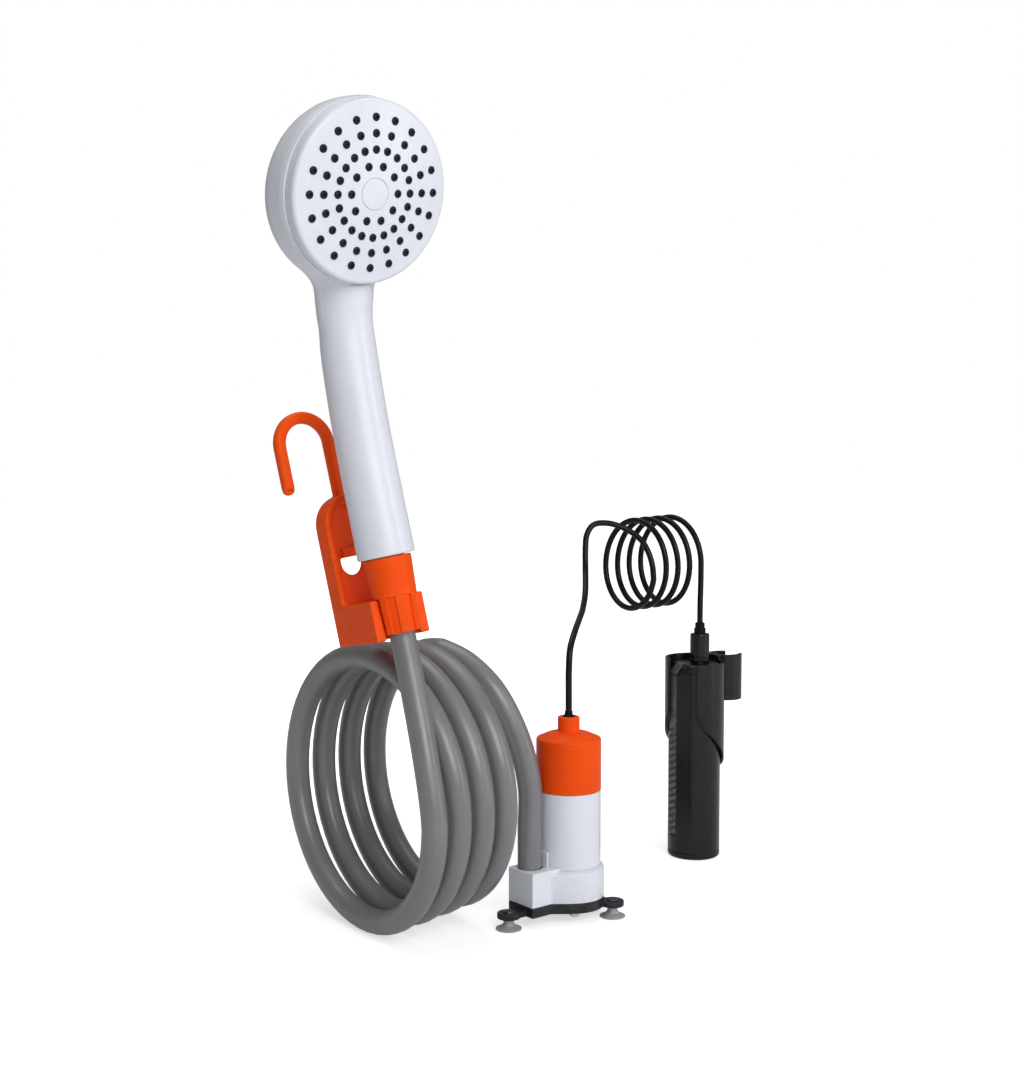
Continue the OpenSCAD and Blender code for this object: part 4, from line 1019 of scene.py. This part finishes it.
class SHOWERKIT_OT_spray_face(ShowerKitOperator, bpy.types.Operator):
    """Make the spray face with its centre cap and nozzles"""

    bl_idname = "shower_kit.spray_face"
    bl_label = "Spray face"

    def make(self, context, sizes):
        rim = sizes.rim_round / MM
        low, cap_r, lip_r, lip_z = FACE_DOME - 0.8, 7.5, 40.2, -8.5
        outline = [(0, low), (cap_r, low, 0.1), (cap_r, face_rise(cap_r), 0.15)]
        outline += [(r, face_rise(r)) for r in np.linspace(10, 40.5, 12)]
        outline += [(EDGE_R, 0.05, rim), (EDGE_R, -SEAM_DEEP, 0.35), (lip_r, -SEAM_DEEP), (lip_r, lip_z),
                    (lip_r - 2, lip_z), (lip_r - 2, -2.2), (0, -2.2)]
        plate = turned_piece("spray_plate", outline, IN_FACE, 128, 8)
        finish_piece(plate, "handset", "white_plastic", "white_mould", "face_plate")
        r = cap_r - 0.2
        centre = turned_piece("centre_button", [
            (0, low - 0.1), (r, low - 0.1), (r, face_rise(r) + 0.15, 0.3), (0, FACE_DOME + 0.3)], IN_FACE, 72)
        finish_piece(centre, "handset", "white_plastic", "white_mould", "face_cap")
        r = sizes.nozzle_d / MM / 2
        nozzle = turned_piece("spray_nozzles", [
            (0, -1.0), (r, -1.0), (r, 0.35, 0.2), (r * 0.62, 0.9, 0.3), (r * 0.36, 0.9, 0.1), (r * 0.3, 0.1),
            (0, 0.1)], None, 18, 2)
        place = Matrix.Scale(MM, 4) @ IN_FACE @ Matrix.Scale(1 / MM, 4)
        finish_repeated(nozzle, nozzle_tree(), "handset", "nozzle_rubber", "nozzle_rubber", "nozzle_mat", 48,
                        place, rub=(30, 60))


class SHOWERKIT_OT_hose_nut(ShowerKitOperator, bpy.types.Operator):
    """Make the tapered nut with its grip grooves"""

    bl_idname = "shower_kit.hose_nut"
    bl_label = "Hose nut"

    def make(self, context, sizes):
        deep = sizes.groove_deep / MM
        grooves, half, top, low_r, high_r, tall = 8, 11.2, 18.1, 10.4, 12.25, 38
        side = [3.75, 7.5, half, half + 1.6, 15, 17.5, 20]
        offsets = [-off for off in side[::-1]] + [0] + side + [22.5]
        turns = np.radians([360 / grooves * n + off for n in range(grooves) for off in offsets])
        grooved = np.array([abs(off) <= half for off in offsets] * grooves)

        def plain(r, z):
            return np.stack((r * np.cos(turns), r * np.sin(turns), np.full(len(turns), z)), axis=1)

        def ring(z, inset):
            depth = np.where(grooved & (z <= top), deep, 0)
            return plain(low_r + (high_r - low_r) * z / tall - np.maximum(depth, inset), z)

        rows = [plain(6.85, 7.0), plain(6.85, 0.3), plain(7.1, 0.0), ring(0.0, 0.6), ring(0.18, 0.25)]
        rows += [ring(z, 0) for z in (0.6, 4.0, 8.0, 12.0, 16.0, top, top + 0.35, 22.0, 27.0, 32.0, 36.9)]
        rows += [ring(37.45, 0.1), ring(37.85, 0.4), ring(38.0, 0.9), plain(9.4, 38.0), plain(9.4, 30.0)]
        points, faces = skin_of(rows)
        nut = piece_from("hose_nut_grip", points, faces, IN_HAND)
        finish_piece(nut, "union_nut", "orange_plastic", "orange_mould", "hose_nut", angle=40)


class SHOWERKIT_OT_bracket(ShowerKitOperator, bpy.types.Operator):
    """Make the hanging bracket with softened edges"""

    bl_idname = "shower_kit.bracket"
    bl_label = "Bracket"

    def make(self, context, sizes):
        finish_softened("hanging_bracket", "bracket", sizes.bracket_edge / MM, "pump_kit", "orange_plastic",
                        "orange_mould", segments=3)


class SHOWERKIT_OT_battery(ShowerKitOperator, bpy.types.Operator):
    """Make the battery tube with its caps, grip ribs and power button; the rib tops and a band over the grip
    strip carry painted highlights
    """

    bl_idname = "shower_kit.battery"
    bl_label = "Battery"

    def make(self, context, sizes):
        edge = sizes.case_edge / MM
        finish_softened("battery_tube", "battery_case", edge, "pump_kit", "black_plastic", "black_satin")
        finish_softened("battery_foot", "battery_end_cap", edge, "pump_kit", "black_plastic", "black_mould")
        finish_softened("battery_crown", "battery_top_cap", edge, "pump_kit", "black_plastic", "black_mould")
        # The ribs' finish paints a highlight on their tops and edges
        finish_softened("grip_ribs", "grip_strip", 0.12, "pump_kit", "black_rubber", "rib_soft")
        # A thin band over the upper end of the grip strip and the top slope, whose light tint is a painted
        # highlight on that edge
        over = [(15.85, 108.0), (15.85, 114.2), (15.35, 116.6), (11.5, 121.3), (10.2, 122.25), (8.6, 122.35)]
        under = [(15.4, 108.0), (15.4, 113.6), (15.0, 115.6), (11.2, 120.2), (9.8, 121.2), (8.6, 121.4)]
        loop = smooth_line([Vector((r, 0, z)) for r, z in over], 5)
        loop += smooth_line([Vector((r, 0, z)) for r, z in under], 5)[::-1]
        rows = [[v + Vector((0, side, 0)) for v in loop] for side in (-3.7, -3.5, 3.5, 3.7)]
        points, faces = skin_of(rows)
        band = piece_from("grip_band_highlight", points, faces, AT_BATTERY @ Matrix.Rotation(STRIP_TURN, 4, "Z"))
        finish_piece(band, "pump_kit", "black_rubber", "band_highlight_soft")
        button = turned_piece("power_key", [
            (0, 115.5), (3.6, 115.5, 0.1), (3.6, 116.6, 0.2), (2.5, 116.6), (2.5, 122.7, 0.5),
            (1.2, 123.0, 0.6), (0, 122.85)], Matrix.Translation(BUTTON), 40, 4)
        finish_piece(button, "button", "black_rubber", "seal_rubber", "power_button")


class SHOWERKIT_OT_holder(ShowerKitOperator, bpy.types.Operator):
    """Make the battery's sleeve with its pole clip"""

    bl_idname = "shower_kit.holder"
    bl_label = "Holder"

    def make(self, context, sizes):
        sleeve = finish_softened("battery_sleeve", "holder", sizes.case_edge / MM, "pole_holder",
                                 "black_plastic", "black_mould")
        # The rim is lower in front, between some degrees round the battery
        rim_z, wall_r, drop = 124, 18.9, 3.2 * MM
        start, full, end = 348, 336, 200
        for v in sleeve.data.vertices:
            around, away, up = polar(v.co, BATTERY)
            if up > rim_z and away < wall_r and end < around < start:
                v.co.z -= drop * min((start - around) / (start - full), 1)


class SHOWERKIT_OT_inner_works(ShowerKitOperator, bpy.types.Operator):
    """Give the motor, the rotor, the seals and the battery's inside their finishes"""

    bl_idname = "shower_kit.inner_works"
    bl_label = "Inner works"

    def make(self, context, sizes):
        looks = {
            "bright_steel": ("motor_shaft", "motor_can", "face_screw", "cell_contacts", "button_switch",
                             "battery_socket"),
            "seal_rubber": ("shaft_seal", "motor_rings", "housing_seal", "face_seal", "hose_washer"),
            "wound_copper": ("armature", "commutator", "motor_leads"),
            "white_mould": ("impeller", "handle_spigot", "hose_ferrule"),
            "plate_mould": ("strainer",),
            "black_mould": ("brush_gear",),
            "magnet_ferrite": ("motor_magnets",),
            "bearing_brass": ("motor_bushes",),
            "cell_sleeve": ("cell",),
            "board_lacquer": ("control_board",),
        }
        for look, nodes in looks.items():
            for node in nodes:
                dress_solid(node, look)


def shown(b):
    """How much the bright ground shows: all of it to the camera, a part of it in reflections."""
    rays = b.add("ShaderNodeLightPath").outputs
    return b.calc("ADD", rays["Is Camera Ray"], b.calc("MULTIPLY", rays["Is Glossy Ray"], MIRRORED))


class SHOWERKIT_OT_stage(ShowerKitOperator, bpy.types.Operator):
    """Make the white floor, the lamps and the sky"""

    bl_idname = "shower_kit.stage"
    bl_label = "Stage"

    def make(self, context, sizes):
        half = sizes.floor / MM / 2
        corners = [(-half, -half), (half, -half), (half, half), (-half, half)]
        floor = piece_from("floor", [(x, y, -0.05) for x, y in corners], [(0, 1, 2, 3)])
        material = bpy.data.materials.new("floor_paper")
        b = emptied(material)
        paper = b.add("ShaderNodeBsdfDiffuse", {"Color": (0.8, 0.8, 0.81, 1)})
        spot = b.add("ShaderNodeTexCoord").outputs["Object"]
        away = b.add("ShaderNodeVectorMath", {0: spot}, operation="LENGTH").outputs["Value"]
        strength = b.calc("MULTIPLY", shown(b), b.span(away, 0.15, 0.6, 0.6, 1.0))
        glow = b.add("ShaderNodeEmission", {"Color": (1, 1, 1, 1), "Strength": strength})
        both = b.add("ShaderNodeAddShader", {0: paper.outputs[0], 1: glow.outputs[0]})
        b.add("ShaderNodeOutputMaterial", {"Surface": both.outputs[0]})
        floor.data.materials.append(material)

        world = bpy.data.worlds.new("studio")
        context.scene.world = world
        b = emptied(world)
        strength = b.calc("MAXIMUM", shown(b), AMBIENT)
        sky = b.add("ShaderNodeBackground", {"Color": (1, 1, 1, 1), "Strength": strength})
        b.add("ShaderNodeOutputWorld", {"Surface": sky.outputs[0]})

        for name, spot, aim, wide, tall, power in (
            ("key", (-0.42, -1.47, 0.92), (0.0, 0.0, 0.2), 1.0, 1.0, 15.5),
            ("side", (0.85, -1.2, 0.5), (0.1, 0.0, 0.15), 0.3, 1.2, 4.0),
            ("top", (0.0, 0.3, 1.7), (0.0, 0.0, 0.1), 1.2, 1.2, 8.0),
        ):
            lamp = bpy.data.lights.new(name, "AREA")
            lamp.shape = "RECTANGLE"
            lamp.size = wide
            lamp.size_y = tall
            lamp.energy = power
            way = Vector(spot) - Vector(aim)
            turn = way.to_track_quat("Z", "Y").to_matrix().to_4x4()
            added(name, lamp).matrix_world = Matrix.Translation(spot) @ turn
        context.scene.view_settings.view_transform = "Standard"


class SHOWERKIT_PT_panel(bpy.types.Panel):
    bl_idname = "SHOWERKIT_PT_panel"
    bl_label = "Shower kit"
    bl_space_type = "VIEW_3D"
    bl_region_type = "UI"
    bl_category = "Shower kit"

    def draw(self, context):
        for group in (context.scene.shower_kit_sizes, context.scene.shower_kit_colours):
            column = self.layout.column()
            for name in group.__annotations__:
                column.prop(group, name)
        column = self.layout.column()
        for operator in OPERATORS:
            column.operator(operator.bl_idname)


OPERATORS = (
    SHOWERKIT_OT_camera, SHOWERKIT_OT_hose, SHOWERKIT_OT_cable, SHOWERKIT_OT_pump, SHOWERKIT_OT_suction_cups,
    SHOWERKIT_OT_handset_shell, SHOWERKIT_OT_spray_face, SHOWERKIT_OT_hose_nut, SHOWERKIT_OT_bracket,
    SHOWERKIT_OT_battery, SHOWERKIT_OT_holder, SHOWERKIT_OT_inner_works, SHOWERKIT_OT_stage,
)
CLASSES = (ShowerKitSizes, ShowerKitColours) + OPERATORS + (SHOWERKIT_PT_panel,)


def register():
    for kind in CLASSES:
        bpy.utils.register_class(kind)
    bpy.types.Scene.shower_kit_sizes = bpy.props.PointerProperty(type=ShowerKitSizes)
    bpy.types.Scene.shower_kit_colours = bpy.props.PointerProperty(type=ShowerKitColours)


def unregister():
    """Takes them out again."""
    del bpy.types.Scene.shower_kit_sizes
    del bpy.types.Scene.shower_kit_colours
    for kind in reversed(CLASSES):
        bpy.utils.unregister_class(kind)


def main():
    """Makes the whole scene."""
    register()
    bpy.ops.shower_kit.camera()
    bpy.ops.shower_kit.hose()
    bpy.ops.shower_kit.cable()
    bpy.ops.shower_kit.pump()
    bpy.ops.shower_kit.suction_cups()
    bpy.ops.shower_kit.handset_shell()
    bpy.ops.shower_kit.spray_face()
    bpy.ops.shower_kit.hose_nut()
    bpy.ops.shower_kit.bracket()
    bpy.ops.shower_kit.battery()
    bpy.ops.shower_kit.holder()
    bpy.ops.shower_kit.inner_works()
    bpy.ops.shower_kit.stage()


if __name__ == "__main__":
    main()
